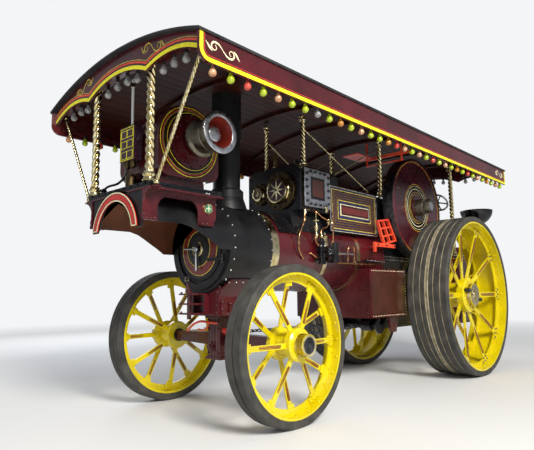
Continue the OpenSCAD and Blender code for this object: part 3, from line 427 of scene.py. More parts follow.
def on_wheels(axle, name, shape, material):
    """The piece on an axle's left wheel, and its mirror image on the right one. Each turns with its wheel."""
    for side, own in (("left", shape), ("right", mirrored(shape))):
        put(f"{axle}_{side}_{name}", own, material, f"{axle}_wheel_{side}_body")


# %% [markdown]
# Four ways of making a body cover nearly everything: turned on a lathe, carried along a path, drawn as a
# pipe through points, and small hardware copied to many places at once.


# %% Turned, carried and piped bodies
def across(axis):
    """The unit vector along axis, and two more square to it and to each other."""
    axis = np.asarray(axis, float) / np.linalg.norm(axis)
    side = np.cross(axis, Z if abs(axis[2]) < 0.9 else X)
    side /= np.linalg.norm(side)
    return axis, side, np.cross(axis, side)


def turned(profile, centre, axis, n=48, hollow=False):
    """Lathe work. Point = centre + axis * along + radius * (cos t, sin t), for each (radius, along)."""
    axis, side, up = across(axis)
    radius, along = np.array(profile, float).T
    t = np.linspace(0, 2 * np.pi, n, endpoint=False)
    wheel = np.cos(t)[:, None] * side + np.sin(t)[:, None] * up
    rings = np.array(centre, float) + along[:, None, None] * axis + radius[:, None, None] * wheel
    return net(rings, ring=hollow)


def section(low, base, high, top):
    """Four-sided profile: low to each side at height base, and high to each side at height top."""
    return [(-low, base), (low, base), (high, top), (-high, top)]


def carried(profile, path, up, ring=False):
    """A profile of (side, up) points carried along a path that turns square to up. At a corner the side
    is stretched by one over the cosine of half the turn, so that a band keeps its width."""
    path, up = np.array(path, float), np.array(up, float)
    ahead = (np.roll(path, -1, 0) - path)
    ahead /= np.linalg.norm(ahead, axis=1, keepdims=True) + 1e-12
    before = np.roll(ahead, 1, 0)
    if not ring:
        before[0], ahead[-1] = ahead[0], ahead[-2]
    along = ahead + before
    along /= np.linalg.norm(along, axis=1, keepdims=True)
    half_turn = np.einsum("ij,ij->i", along, ahead)[:, None]
    ups = np.broadcast_to(up / np.linalg.norm(up, axis=-1, keepdims=True), path.shape)
    side = np.cross(along, ups) / np.maximum(half_turn, 0.4)
    shape = np.array(profile, float)
    rings = path[:, None] + shape[None, :, :1] * side[:, None] + shape[None, :, 1:] * ups[:, None]
    return net(rings, ring=ring)


def stroke(path, up, width, ring=False, lift=0.0012, sunk=0.0006):
    """A painted or applied line: a flat band of that width, standing lift proud of the surface."""
    return carried(section(width / 2, -sunk, width / 2, lift), path, up, ring)


def smooth_path(points, steps=8):
    """Catmull-Rom curve: cubic pieces through all the points, each slope from its two neighbours."""
    p = np.array(points, float)
    p = np.vstack([2 * p[0] - p[1], p, 2 * p[-1] - p[-2]])
    t = np.linspace(0, 1, steps, endpoint=False)[:, None, None]
    a, b, c, d = p[:-3], p[1:-2], p[2:-1], p[3:]
    curve = 0.5 * (2 * b + (c - a) * t + (2 * a - 5 * b + 4 * c - d) * t**2 + (3 * b - a - 3 * c + d) * t**3)
    return np.vstack([curve.transpose(1, 0, 2).reshape(-1, 3), p[-2:-1]])


def wire(path, radius, n=10):
    """Circle of that radius carried along a path. Its side comes from one fixed direction."""
    path = np.array(path, float)
    along = np.gradient(path, axis=0)
    along /= np.linalg.norm(along, axis=1, keepdims=True)
    least = np.eye(3)[np.argmin(np.abs(along).max(0))]
    side = np.cross(along, least)
    side /= np.linalg.norm(side, axis=1, keepdims=True)
    up = np.cross(along, side)
    t = np.linspace(0, 2 * np.pi, n, endpoint=False)[None, :, None]
    radius = np.broadcast_to(np.asarray(radius, float), len(path))[:, None, None]
    return net(path[:, None] + radius * (np.cos(t) * side[:, None] + np.sin(t) * up[:, None]))


def pipe(points, radius, n=10, steps=8):
    """Wire bent smoothly through the points."""
    return wire(smooth_path(points, steps), radius, n)


def ring_path(centre, axis, radius, n=96, start=0.0, end=2 * np.pi):
    """Points round a circle, or along an arc of it that then includes its end."""
    axis, side, up = across(axis)
    t = np.linspace(start, end, n, endpoint=end - start < 2 * np.pi - 1e-6)[:, None]
    return np.array(centre, float) + radius * (np.cos(t) * side + np.sin(t) * up)


def hoop(centre, axis, radius, thick, n, points):
    """Wire bent to a full circle, its two ends butted."""
    path = ring_path(centre, axis, radius, points)
    return wire(np.vstack([path, path[:1]]), thick, n)


def coil(centre, side, up, axis, radius, length, turns, thick, points):
    """Spring wire: centre + radius * (side cos t + up sin t) + axis * length * t / (the last t)."""
    t = np.linspace(0, turns * 2 * np.pi, points)[:, None]
    path = np.array(centre, float) + radius * (np.cos(t) * side + np.sin(t) * up) + axis * length * t / t[-1]
    return wire(path, thick, 6)


def circle_stroke(centre, axis, radius, width, n=96):
    """A painted circle on a face square to axis."""
    return stroke(ring_path(centre, axis, radius, n), axis, width, ring=True)


def copies(profile, places, facing, n):
    """Small lathe work at many places: profile (radius, along) turned n-sided, along each facing vector."""
    places = np.array(places, float)
    facing = np.broadcast_to(np.array(facing, float), places.shape)
    facing = facing / np.linalg.norm(facing, axis=1, keepdims=True)
    helper = np.where(np.abs(facing[:, 2:]) < 0.9, Z[None], X[None])
    side = np.cross(facing, helper)
    side /= np.linalg.norm(side, axis=1, keepdims=True)
    up = np.cross(facing, side)
    t = np.linspace(0, 2 * np.pi, n, endpoint=False)
    r, h = np.array(profile, float).T
    local = np.stack([np.outer(r, np.cos(t)), np.outer(r, np.sin(t)), np.repeat(h[:, None], n, 1)], -1)
    local, faces = net(local)
    points = places[:, None] + sum(local[:, k : k + 1] * to[:, None]
                                   for k, to in enumerate((side, up, facing)))
    return points.reshape(-1, 3), repeated(len(local), faces, len(places))


def rivets(places, facing, r=0.009, h=0.006):
    """Cup-headed rivets: a dome of four rings, eight-sided."""
    return copies([(r, -0.001), (0.94 * r, 0.45 * h), (0.62 * r, 0.85 * h), (0.2 * r, h)], places, facing, 8)


def studs(places, facing, r=0.014, h=0.012):
    """Hexagon nut with a chamfered top and the stud's end standing out of it."""
    profile = [(r, -0.001), (r, 0.85 * h), (0.85 * r, h), (0.5 * r, h), (0.48 * r, 1.5 * h),
               (0.3 * r, 1.65 * h)]
    return copies(profile, places, facing, 6)


def rows(count, *ends):
    """Straight rows of places: count points evenly spaced between each pair of ends."""
    return np.vstack([np.linspace(np.array(a, float), np.array(b, float), count) for a, b in ends])


def grid(xs, ys, zs):
    """Every place whose x, y and z are each taken from a list."""
    return np.stack(np.meshgrid(xs, ys, zs, indexing="ij"), -1).reshape(-1, 3).astype(float)


# %% [markdown]
# The canopy stands on brass columns that look like rope of three strands. The section is worked out as
# three round strands side by side, and it turns as it rises, left-handed as on the machine.


# %% Rope-twisted columns and stays
def rope(radius, a, b, pitch, around=24, per_turn=14):
    """Each strand has radius s at distance d from the middle, d + s = radius, so at an angle q from the
    strand's middle the surface lies at d cos q + sqrt(s^2 - d^2 sin^2 q). The angle turns with the length."""
    a, b = np.array(a, float), np.array(b, float)
    length = np.linalg.norm(b - a)
    axis, side, up = across(b - a)
    along = np.linspace(0, length, int(length / pitch * per_turn) + 2)
    t = np.linspace(0, 2 * np.pi, around, endpoint=False)
    d, s = 0.46 * radius, 0.54 * radius
    q = (t + np.pi / 3) % (2 * np.pi / 3) - np.pi / 3
    reach = d * np.cos(q) + np.sqrt(np.maximum(s * s - (d * np.sin(q)) ** 2, 0))
    angle = t[None, :] - 2 * np.pi * along[:, None] / pitch
    wheel = np.cos(angle)[..., None] * side + np.sin(angle)[..., None] * up
    return net(a + along[:, None, None] * axis + reach[None, :, None] * wheel)


def turned_end(radius, foot, axis):
    """Vase-shaped brass end: a foot, a hollow neck and a ring, as (radius, along) pairs."""
    profile = [(1.5, 0), (1.5, 0.45), (1.25, 0.6), (1.15, 0.95), (1.42, 1.3), (1.42, 1.7), (1.2, 1.95),
               (1.2, 2.2)]
    return turned(radius * np.array(profile), foot, axis, 28)


COLUMNS = [(4.699, 0.435, 1.99, 0.036, 0.2), (2.6, 0.28, 2.5, 0.026, 0.15),
           (1.15, 0.385, 2.33, 0.03, 0.18), (-0.77, 0.5, 1.64, 0.034, 0.18)]  # x, y, foot, radius, pitch
ROOF_EDGE, ROOF_RISE, HOOP_UNDER = 2.955, 0.215, 0.066  # the last is the depth of the hoops' under side
ROOF_R = (SIDE**2 + ROOF_RISE**2) / (2 * ROOF_RISE)
ROOF_CENTRE = ROOF_EDGE + ROOF_RISE - ROOF_R


def roof_height(y, below):
    """Height of a circle that lies below the roof's top by a given depth."""
    return ROOF_CENTRE + np.sqrt((ROOF_R - below) ** 2 - y * y)


column_parts = []
for x, y, z, r, pitch in COLUMNS:
    top = roof_height(y + 1.5 * r, HOOP_UNDER)
    column_parts += [rope(r, (x, y, z + 1.6 * r), (x, y, top - 1.6 * r), pitch, 30, 16),
                     turned_end(r, (x, y, z), Z), turned_end(r, (x, y, top), -Z)]
columns = put("twisted_brass_columns", both(*column_parts), brass)
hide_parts("columns")

STAY_FOOT, STAY_HEAD = np.array([4.699, 0.535, 1.972]), np.array([4.699, 1.1, 2.905])
ball = [(0.004, -0.024), (0.017, -0.018), (0.024, -0.007), (0.024, 0.007), (0.017, 0.018), (0.004, 0.024)]
ball_places = (STAY_FOOT, STAY_HEAD - [0, 0.012, 0.02])
stay_parts = [rope(0.015, STAY_FOOT, STAY_HEAD, 0.11)] + [turned(ball, at, Z, 20) for at in ball_places]
stays = put("twisted_brass_stays", both(*stay_parts), brass)
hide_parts("stays")
inner_ends = [((2.6, 0.3, 2.93), (1.4, 0.36, 2.36)), ((1.15, 0.36, 2.98), (2.05, 0.3, 2.5))]
put("thin_inner_stays", both(*[rope(0.008, a, b, 0.07, 12, 8) for a, b in inner_ends]), brass)

# %% [markdown]
# Under the roof lies tongue-and-groove boarding. Every board is 105 mm wide and runs the whole length. The
# boards follow the roof's curve, and each leaves a 4 mm groove to its neighbour.

# %% Ceiling boards
BOARD_COUNT, GROOVE, BOARD_ENDS = 22, 0.004, (-1.15, 4.74)
BOARD_UNDER, BOARD_TOP = 0.032, 0.021  # depths below the top of the roof
middles = (np.arange(BOARD_COUNT) - (BOARD_COUNT - 1) / 2) * BOARD_PITCH
edges = middles[:, None] + np.array([-1, 1, 1, -1]) * (BOARD_PITCH - GROOVE) / 2
heights = roof_height(edges, np.array([BOARD_UNDER, BOARD_UNDER, BOARD_TOP, BOARD_TOP]))
ceiling = [net(np.array([np.stack([np.full(4, x), y4, z4], -1) for x in BOARD_ENDS]))
           for y4, z4 in zip(edges, heights)]
put("ceiling_boards", together(*ceiling), boards, smooth=False)

# %% [markdown]
# Bulbs hang every 174 mm along both sides and in the arches of the end boards. Each has a black holder
# and a pear-shaped bulb. All of one tint are one object.

# %% Bulbs
BULB = [(0.011, -0.026), (0.013, -0.034), (0.017, -0.044), (0.026, -0.060), (0.031, -0.074), (0.030, -0.087),
        (0.023, -0.098), (0.012, -0.105), (0.003, -0.107)]
HOLDER = [(0.005, 0.004), (0.016, 0.0), (0.016, -0.024), (0.013, -0.028), (0.005, -0.028)]
TINTS = ("peach green rose green peach green green clear green amber green peach green green amber "
         "rose peach green peach green rose green peach green amber green rose green peach green "
         "amber green peach green").split()
END_ARCHES = [(0.0, 1.905, 1.070), (0.745, 2.117, 0.800)]  # y and z of a circle's middle, and its radius
END_LOW = 2.8
LAMP_Y, LAMP_Z, FIRST_LAMP, LAST_LAMP = 1.13, 2.757, 4.644, -1.098
ARCH_LAMP_X, ARCH_LAMP_LIFT = (4.704, -1.112), 0.014


def lower_edge(y, inset=0.0):
    """Highest of the circles and the straight edge, each grown by the inset."""
    best = np.full(y.shape, END_LOW + inset)
    for cy, cz, r in END_ARCHES:
        reach = (r + inset) ** 2 - (np.abs(y) - cy) ** 2
        best = np.maximum(best, np.where(reach > 0, cz + np.sqrt(np.maximum(reach, 0)), best))
    return best


side_lamps = rows(len(TINTS), ((FIRST_LAMP, LAMP_Y, LAMP_Z), (LAST_LAMP, LAMP_Y, LAMP_Z)))
arch_y = np.array([0.08, 0.24, 0.61, 0.75, 0.9])
arch_lamps = np.vstack([np.stack([np.full(5, x), arch_y, lower_edge(arch_y) + ARCH_LAMP_LIFT], -1)
                        for x in ARCH_LAMP_X])
for tint in bulb_finish:
    chosen = side_lamps[[t == tint for t in TINTS]]
    if tint == "clear":
        chosen = np.vstack([chosen, arch_lamps])
    bulbs = put(f"bulbs_{tint}", both(copies(BULB, chosen, Z, 12)), bulb_finish[tint])
    if tint == "green":
        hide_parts("lamps")
put("bulb_holders", both(copies(HOLDER, np.vstack([side_lamps, arch_lamps]), Z, 12)), lamp_black)

# %% [markdown]
# The boards round the canopy carry painted edging and scrolls, and their middle is plain. A scroll is a
# Cornu spiral, whose bend grows evenly from its middle to both of its eyes.


# %% Canopy edging and scrolls
def cornu_scroll(length, turns, count=160):
    """Direction = pi/2 * s^2 - pi/4 for s from -turns to turns. The place is its running sum, and taking
    off pi/4 lays both eyes on one level."""
    s = np.linspace(-turns, turns, count)
    direction = np.pi / 2 * s**2 - np.pi / 4
    path = np.cumsum(np.stack([np.cos(direction), np.sin(direction)], -1), 0)
    path -= path[count // 2]
    return path * length / np.ptp(path[:, 0]), s


def brushed(path2, thick, place, right, up, facing, lift=0.0012):
    """A brush stroke that thins to both ends: two edges either side of a path on a face."""
    path = np.asarray(place) + path2[:, :1] * np.array(right, float) + path2[:, 1:] * np.array(up, float)
    along = np.gradient(path, axis=0)
    along /= np.linalg.norm(along, axis=1, keepdims=True)
    w = np.asarray(thick)[:, None, None] / 2
    corners = np.array([(-1, -0.5), (1, -0.5), (1, 1), (-1, 1)])
    rings = path[:, None] + corners[None, :, :1] * w * np.cross(along, facing)[:, None]
    return net(rings + corners[None, :, 1:] * lift * facing)


def scroll(place, right, up, facing, length=0.3, thick=0.012):
    """S-shaped scroll with a leaf outside each eye."""
    path, s = cornu_scroll(0.66 * length, 2.1)
    width = thick * (0.35 + 0.65 * np.exp(-((np.abs(s) - 0.8) ** 2) / 0.4))
    u = np.linspace(0, 1, 20)
    leaf = np.stack([(0.3 + 0.2 * u) * length, 0.09 * np.cos(2.6 * u) * length], -1)
    thin = thick * np.sin(np.pi * np.clip(u, 0.08, 0.94)) * 1.1
    strokes = ((path, width), (leaf, thin), (-leaf, thin))
    return together(*[brushed(line, wide, place, right, up, facing) for line, wide in strokes])


REAR, FRONT = -1.215, 4.807
EDGE_LOW, EDGE_TOP = 2.718, 2.93


def side_edging(inset, corner, width):
    """Down at the rear, along the bottom, round the front lower corner, and up at the front."""
    t = np.radians(np.linspace(0, 90, 10))
    low = EDGE_LOW + inset
    bend = [(FRONT - inset - corner + corner * np.sin(a), SIDE, low + corner - corner * np.cos(a)) for a in t]
    path = [(REAR + inset, SIDE, EDGE_TOP),
            (REAR + inset, SIDE, low)] + bend + [(FRONT - inset, SIDE, EDGE_TOP)]
    return stroke(path, Y, width)


put("canopy_side_yellow_edge", both(side_edging(0.021, 0.075, 0.032)), yellow_line)
put("canopy_side_dark_line", both(side_edging(0.041, 0.058, 0.008)), purple)
put("canopy_side_red_line", both(side_edging(0.049, 0.05, 0.007)), red_line)
side_scrolls = [scroll((x, SIDE, 2.846), -X, Z, Y, 0.33, 0.015) for x in (4.585, -0.97)]
put("canopy_side_scrolls", both(*side_scrolls), cream_line)

# %% [markdown]
# The board across each end has three arches cut in its lower edge. Its edging follows the same circles as
# the saw did: a broad yellow band on the edge, then a purple one, then an orange band and a thin gold line.

# %% End board edging
END_BOARDS = (("front", 4.774, 1), ("rear", -1.182, -1))  # x of the outer face, and the way it looks
edge_y = np.linspace(-1.14, 1.14, 229)
for end, x, way in END_BOARDS:
    for name, inset, width, paint in (("yellow_edge", 0.017, 0.032, yellow_line),
                                      ("purple_band", 0.041, 0.016, purple),
                                      ("orange_line", 0.057, 0.017, flame),
                                      ("gold_line", 0.076, 0.004, gold_line)):
        path = np.stack([np.full(edge_y.shape, x), edge_y, lower_edge(edge_y, inset)], -1)
        put(f"canopy_{end}_{name}", stroke(path, way * X, width), paint)
    swirls = [scroll((x, 0.56 * k, 3.03), (0, k, -0.17), (0, 0.17 * k, 1), way * X, 0.34, 0.011)
              for k in (1, -1)]
    put(f"canopy_{end}_scrolls", together(*swirls), gold_line)

# %% [markdown]
# A black half-round moulding covers the joint where the side boards meet the roof, held by small screws.

# %% Roof edge moulding
MOULD_Y, MOULD_Z = SIDE + 0.002, 2.937
mould = wire([(REAR, MOULD_Y, MOULD_Z), (FRONT, MOULD_Y, MOULD_Z)], 0.008, 8)
screw_row = rows(41, ((REAR + 0.05, SIDE + 0.009, MOULD_Z), (FRONT - 0.05, SIDE + 0.009, MOULD_Z)))
put("roof_edge_moulding", both(mould), gloss_black)
put("roof_edge_screws", both(rivets(screw_row, Y, 0.0045, 0.002)), brass)

# %% [markdown]
# The flywheel's outer face is painted with rings: a gold and a red one near its rim, another pair further
# in, and gold, black and cream ones round the shaft. Each is a flat band carried round a circle. The tread
# is bare dark steel, because a belt runs on it.

# %% Flywheel and its rings
CRANK_MIDDLE = np.array([CRANK_X, 0, CRANK_Z])
wheel_face = CRANK_MIDDLE + [0, FLYWHEEL_FACE, 0]
wheel_web = wheel_face - [0, 0.012, 0]
RINGS = {  # (radius, width) of each painted circle
    "gold": (gold_line, [(0.634, 0.006), (0.322, 0.006), (0.217, 0.005), (0.182, 0.005)]),
    "red": (red_line, [(0.624, 0.005), (0.332, 0.004)]),
    "cream": (cream_line, [(0.297, 0.006), (0.258, 0.011)]),
    "black": (gloss_black, [(0.309, 0.016), (0.28, 0.022), (0.236, 0.022)]),
}
for colour, (paint, circles) in RINGS.items():
    ring_set = together(*[circle_stroke(wheel_web, Y, r, w, 120) for r, w in circles])
    put(f"flywheel_{colour}_rings", ring_set, paint, "crankshaft_body")
TREAD = [(0.6735, -0.144), (0.6755, -0.142), (0.6755, -0.003), (0.6735, 0.0005), (0.664, 0.0005),
         (0.664, -0.002), (0.6725, -0.004), (0.6725, -0.144)]
put("flywheel_tread", turned(TREAD, wheel_face, Y, 160, hollow=True), dark_steel, "crankshaft_body")
BOSS = [(0.113, 0.006), (0.113, 0.1), (0.106, 0.118), (0.086, 0.12), (0.086, 0.178), (0.075, 0.197),
        (0.058, 0.197), (0.05, 0.19), (0.004, 0.19)]
key = carried(section(0.012, -0.01, 0.012, 0.01),
              [(CRANK_X, 0.7, CRANK_Z + 0.1), (CRANK_X, 0.775, CRANK_Z + 0.094)], Z)
put("flywheel_boss_and_key", together(turned(BOSS, wheel_face, Y, 40), key), cast_iron, "crankshaft_body")

# %% [markdown]
# The board over the slide bars shows the finest lining: rectangle inside rectangle on purple, with two dark
# blue bands and a small plate with a cream rim in the middle, which is blank.


# %% Motion board lining
def rectangle(x0, x1, z0, z1, y):
    """Its four corners on a face that looks along y."""
    return np.array([(x0, y, z0), (x1, y, z0), (x1, y, z1), (x0, y, z1)], float)


def shrunk(box, dx, dz=None):
    """Box (x0, x1, z0, z1) drawn in on every side."""
    dz = dx if dz is None else dz
    return tuple(np.array(box) + [dx, -dx, dz, -dz])


def framed(box, inset, y, width):
    """Line round a box (x0, x1, z0, z1), inset from its edge, on a face that looks along y."""
    return stroke(rectangle(*shrunk(box, inset), y), Y, width, ring=True)


def slab(box, y, thick, bevel=0.004):
    """Flat plate on a face that looks along y, its edge bevelled: four rings of one rectangle."""
    steps = [(0, -0.001), (0, thick - bevel), (bevel, thick), (0.02, thick)]
    return net(np.array([rectangle(*shrunk(box, inset), y + height) for inset, height in steps]))


BOARD, BOARD_Y = (1.29, 2.29, 1.79, 2.33), 0.4
BOARD_LINES = [  # (inset, width) of each line
    ("blue_bands", blue, [(0.026, 0.022), (0.184, 0.026)]), ("cream_edge", cream_line, [(0.0135, 0.005)]),
    ("black_frame", gloss_black, [(0.0055, 0.011)]),
    ("gold_lines", gold_line, [(0.044, 0.009), (0.16, 0.009)]),
    ("thin_lines", dull_gold, [(0.073, 0.003), (0.102, 0.003), (0.131, 0.003)]),
]
for name, paint, lines in BOARD_LINES:
    put(f"motion_board_{name}",
        both(*[framed(BOARD, inset, BOARD_Y, width) for inset, width in lines]), paint)
plate = shrunk(BOARD, 0.2)
inner_plate = shrunk(plate, 0.009)
put("motion_board_plate_rim", both(slab(plate, BOARD_Y, 0.008)), cream_line)
put("motion_board_plate", both(slab(inner_plate, BOARD_Y + 0.006, 0.005)), name_enamel)
put("motion_board_plate_line", both(framed(inner_plate, 0.016, BOARD_Y + 0.011, 0.012)), gloss_black)

# %% [markdown]
# The cylinder end covers face forward over the boiler. The large one is a dark flange of nuts round a brass
# drum, with an eight-pointed star on purple in its middle. The small one beside it has the same.


# %% Cylinder covers
def star(centre, reach, waist, points, lift):
    """Star as a low pyramid: its outline runs between two radii, and its middle is raised."""
    t = np.linspace(0, 2 * np.pi, 2 * points, endpoint=False)
    r = np.where(np.arange(2 * points) % 2 == 0, reach, waist)
    outline = np.stack([np.zeros(t.shape), r * np.sin(t), r * np.cos(t)], -1)
    return net(centre + np.array([outline, outline + [0.35 * lift, 0, 0], 0.1 * outline + [lift, 0, 0]]))


CYLINDER_FRONT, COVER_Z = 2.8, 2.22
COVERS = [(0.12, 0.215, 0.14, 16, 0.075), (-0.185, 0.125, 0.075, 10, 0.06)]  # y, rim, drum, nuts, depth
KNOB = np.array([(0.13, 0.008), (0.13, 0.022), (0.08, 0.03), (0.02, 0.031)])
flanges, drums, drum_faces, stars, nuts, knobs = [], [], [], [], [], []
for y, rim, inner, count, depth in COVERS:
    face, dish = np.array([CYLINDER_FRONT, y, COVER_Z]), inner - 0.014
    flange = [(rim + 0.001, 0), (rim + 0.001, 0.026), (rim - 0.006, 0.033), (inner + 0.012, 0.033),
              (inner + 0.012, 0)]
    drum = [(inner + 0.012, 0.03), (inner + 0.01, 0.042), (inner + 0.003, 0.05),
            (inner + 0.003, depth + 0.004), (inner - 0.006, depth + 0.01), (inner - 0.016, depth + 0.01),
            (inner - 0.02, depth), (inner - 0.02, 0.03)]
    flanges.append(turned(flange, face, X, 56, hollow=True))
    drums.append(turned(drum, face, X, 56, hollow=True))
    drum_faces.append(turned([(dish, depth - 0.01), (dish, depth + 0.002), (0.02, depth + 0.004)],
                             face, X, 48))
    stars.append(star(face + [depth + 0.003, 0, 0], 0.87 * dish, 0.2 * dish, 8, 0.016))
    knobs.append(turned(KNOB * [dish, 1] + [0, depth], face, X, 12))
    nuts.append(studs(ring_path(face + [0.033, 0, 0], X, (rim + inner) / 2 + 0.008, count), X, 0.0125, 0.012))
put("cylinder_cover_flanges", together(*flanges), bronze)
put("cylinder_cover_drums", together(*drums), brass)
put("cylinder_cover_faces", together(*drum_faces), purple)
put("cylinder_cover_stars", together(*stars), cream_line)
put("cylinder_cover_nuts", together(*nuts, *knobs), dark_steel)

# %% [markdown]
# The valve chest cover is a ground steel plate held by a frame of studs, with a black sunk frame round a
# brown panel in the middle. The panel is plain here.

# %% Valve chest cover
CHEST, CHEST_Y = (2.3, 2.75, 2.03, 2.45), 0.4097
sunk = shrunk(CHEST, 0.1, 0.085)
panel = shrunk(sunk, 0.028)
put("chest_cover_plate", slab(CHEST, CHEST_Y, 0.008, 0.003), steel)
put("chest_cover_frame", slab(sunk, CHEST_Y + 0.007, 0.004), gloss_black)
put("chest_cover_panel", slab(panel, CHEST_Y + 0.009, 0.004), brown)
put("chest_cover_panel_line", framed(panel, 0.02, CHEST_Y + 0.013, 0.006), dark_line)
x0, x1, z0, z1 = shrunk(CHEST, 0.035, 0.06)
up_sides = rows(5, *[((x, CHEST_Y + 0.008, z0), (x, CHEST_Y + 0.008, z1)) for x in (x0, x1)])
x0, x1, z0, z1 = shrunk(CHEST, 0.1, 0.032)
along_ends = rows(4, *[((x0, CHEST_Y + 0.008, z), (x1, CHEST_Y + 0.008, z)) for z in (z0, z1)])
put("chest_cover_nuts", studs(np.vstack([up_sides, along_ends]), Y, 0.017, 0.015), dark_steel)

# %% [markdown]
# The wheels are built up from flat spokes riveted to a web inside each rim. A red line and two brown ones
# run along every spoke. Work on one spoke is copied round the wheel by turning it about the hub.


# %% Wheel pieces
def round_hub(shape, x, z, angles):
    """Copies turned about a line along y: x' = x cos q + z sin q and z' = z cos q - x sin q."""
    points, faces = shape
    q = np.radians(np.asarray(angles, float))[:, None]
    px, py, pz = points[:, 0] - x, points[:, 1], points[:, 2] - z
    turned_x = px * np.cos(q) + pz * np.sin(q) + x
    turned_z = pz * np.cos(q) - px * np.sin(q) + z
    every = np.stack([turned_x, np.broadcast_to(py, turned_x.shape), turned_z], -1).reshape(-1, 3)
    return every, repeated(len(points), faces, len(q))


def spoke_lines(x, z, inner, outer, offsets, width):
    """Lines on one upright spoke from (radius, y) inner to outer, on both flat faces 7 mm off its middle."""
    inner, outer = np.array(inner), np.array(outer)
    ahead = (outer - inner) / np.linalg.norm(outer - inner)
    square = np.array([-ahead[1], ahead[0]])
    bodies = []
    for way in (1, -1):
        a = inner + 0.12 * (outer - inner) + way * 0.007 * square
        b = outer - 0.05 * ahead + way * 0.007 * square
        up = (0, way * square[1], way * square[0])
        bodies += [stroke([(x + o, a[1], z + a[0]), (x + o, b[1], z + b[0])], up, width) for o in offsets]
    return together(*bodies)


# middle, rows of spokes as (first turn, inner end, outer end) in (radius, y), spokes in a row,
# spoke width, rim radius, y of the two foot faces, y of the rim's outer edge, rivet paint, rivet radius
WHEELS = {
    "front": (AT_FRONT, [(0, (0.152, 0.75), (0.52, 0.86)), (30, (0.152, 0.94), (0.52, 0.89))], 6, 0.046,
              0.61, (0.857, 0.893), 0.962, yellow, 0.012),
    "rear": (AT_REAR, [(0, (0.24, 0.67), (0.88, 0.756)), (18, (0.24, 0.94), (0.88, 1.044))], 10, 0.07,
             0.982, (0.752, 1.048), 1.15, blue, 0.014),
}
for axle, ((x, _, z), spokes, count, wide, rim, feet, lip_y, dot_paint, dot_r) in WHEELS.items():
    lines, red_lines, foot_rivets, rim_rivets = [], [], [], []
    spots = [(-0.07, 0.035), (0, 0.035), (0.07, 0.035), (-0.035, -0.015), (0.035, -0.015)]
    for (start, inner, outer), face, way in zip(spokes, feet, (-1, 1)):
        angles = start + np.arange(count) * 360 / count
        side_lines = spoke_lines(x, z, inner, outer, [-0.24 * wide, 0.24 * wide], 0.09 * wide)
        lines.append(round_hub(side_lines, x, z, angles))
        red_lines.append(round_hub(spoke_lines(x, z, inner, outer, [0.0], 0.2 * wide), x, z, angles))
        dots = rivets([(x + u * rim, face, z + rim - 0.082 + v) for u, v in spots], way * Y, dot_r, 0.01)
        foot_rivets.append(round_hub(dots, x, z, angles))
    around = np.arange(4 * count) * 90 / count + 22.5 / count
    for face, way in ((feet[1] - 0.011, 1), (feet[0] + 0.011, -1)):
        rim_rivets.append(round_hub(rivets([(x, face, z + rim - 0.03)], way * Y, 0.011, 0.009), x, z, around))
    turn = np.linspace(0, 2 * np.pi, 4 * count, endpoint=False)[:, None]
    outward = np.hstack([np.cos(turn), 0 * turn, np.sin(turn)])
    for y in (feet[0] - 0.04, feet[1] + 0.04):
        rim_rivets.append(rivets(np.array([x, y, z]) + (rim - 0.02) * outward, -outward, 0.012, 0.01))
    lip = [(rim - 0.0005, -0.004), (rim - 0.0005, 0.002), (rim - 0.009, 0.004), (rim - 0.019, 0.002),
           (rim - 0.019, -0.004)]
    on_wheels(axle, "spoke_lines", together(*lines), dark_line)
    on_wheels(axle, "spoke_red_lines", together(*red_lines), spoke_red)
    on_wheels(axle, "foot_rivets", together(*foot_rivets), dot_paint)
    on_wheels(axle, "rim_rivets", together(*rim_rivets), yellow)
    on_wheels(axle, "rim_lip", turned(lip, (x, lip_y, z), Y, 120, hollow=True), yellow)

# %% [markdown]
# Each hub ends in a turned brass cap. The front ones have a dark iron plug in their face, and the rear ones
# two driving pins beside them, which lock the wheel to its axle.

# %% Hub caps and pins
FRONT_CAP = [(0.0925, 0.994), (0.0975, 1.0), (0.0975, 1.018), (0.0935, 1.026), (0.0935, 1.07),
             (0.088, 1.0815), (0.07, 1.0815), (0.07, 1.06)]
FRONT_PLUG = [(0.07, 1.07), (0.069, 1.083), (0.05, 1.0855), (0.03, 1.0855), (0.028, 1.094), (0.016, 1.096)]
REAR_CAP = [(0.1505, 1.022), (0.154, 1.026), (0.154, 1.04), (0.151, 1.045), (0.151, 1.068), (0.143, 1.083),
            (0.1, 1.086), (0.098, 1.09), (0.06, 1.092), (0.058, 1.1), (0.03, 1.102)]
PIN = [(0.026, -0.002), (0.026, 0.07), (0.02, 0.08), (0.012, 0.082)]
PIN_CIRCLE = 0.19
pins = [(PIN_CIRCLE * np.cos(a), 1.02, AT_REAR[2] + PIN_CIRCLE * np.sin(a)) for a in np.radians([200, 20])]
hub_bolts = ring_path((0.0, 1.0205, AT_REAR[2]), Y, PIN_CIRCLE, 10, np.radians(38), np.radians(38 + 324))
on_wheels("front", "hub_cap", turned(FRONT_CAP, AT_FRONT, Y, 48, hollow=True), brass)
on_wheels("front", "hub_plug", turned(FRONT_PLUG, AT_FRONT, Y, 40), dark_steel)
on_wheels("rear", "hub_cap", turned(REAR_CAP, AT_REAR, Y, 56), brass)
on_wheels("rear", "driving_pins", copies(PIN, pins, Y, 16), dark_steel)
on_wheels("rear", "hub_bolts", studs(hub_bolts, Y, 0.013, 0.011), yellow)

# %% [markdown]
# Road dust settles in the grooves of the rear tyres and is never rubbed off there, so each groove shows as
# a pale line. The dust is a thin skin on the bottom of the groove. It also lies on the tread along both
# sides of the middle groove, which so looks wider than the others.

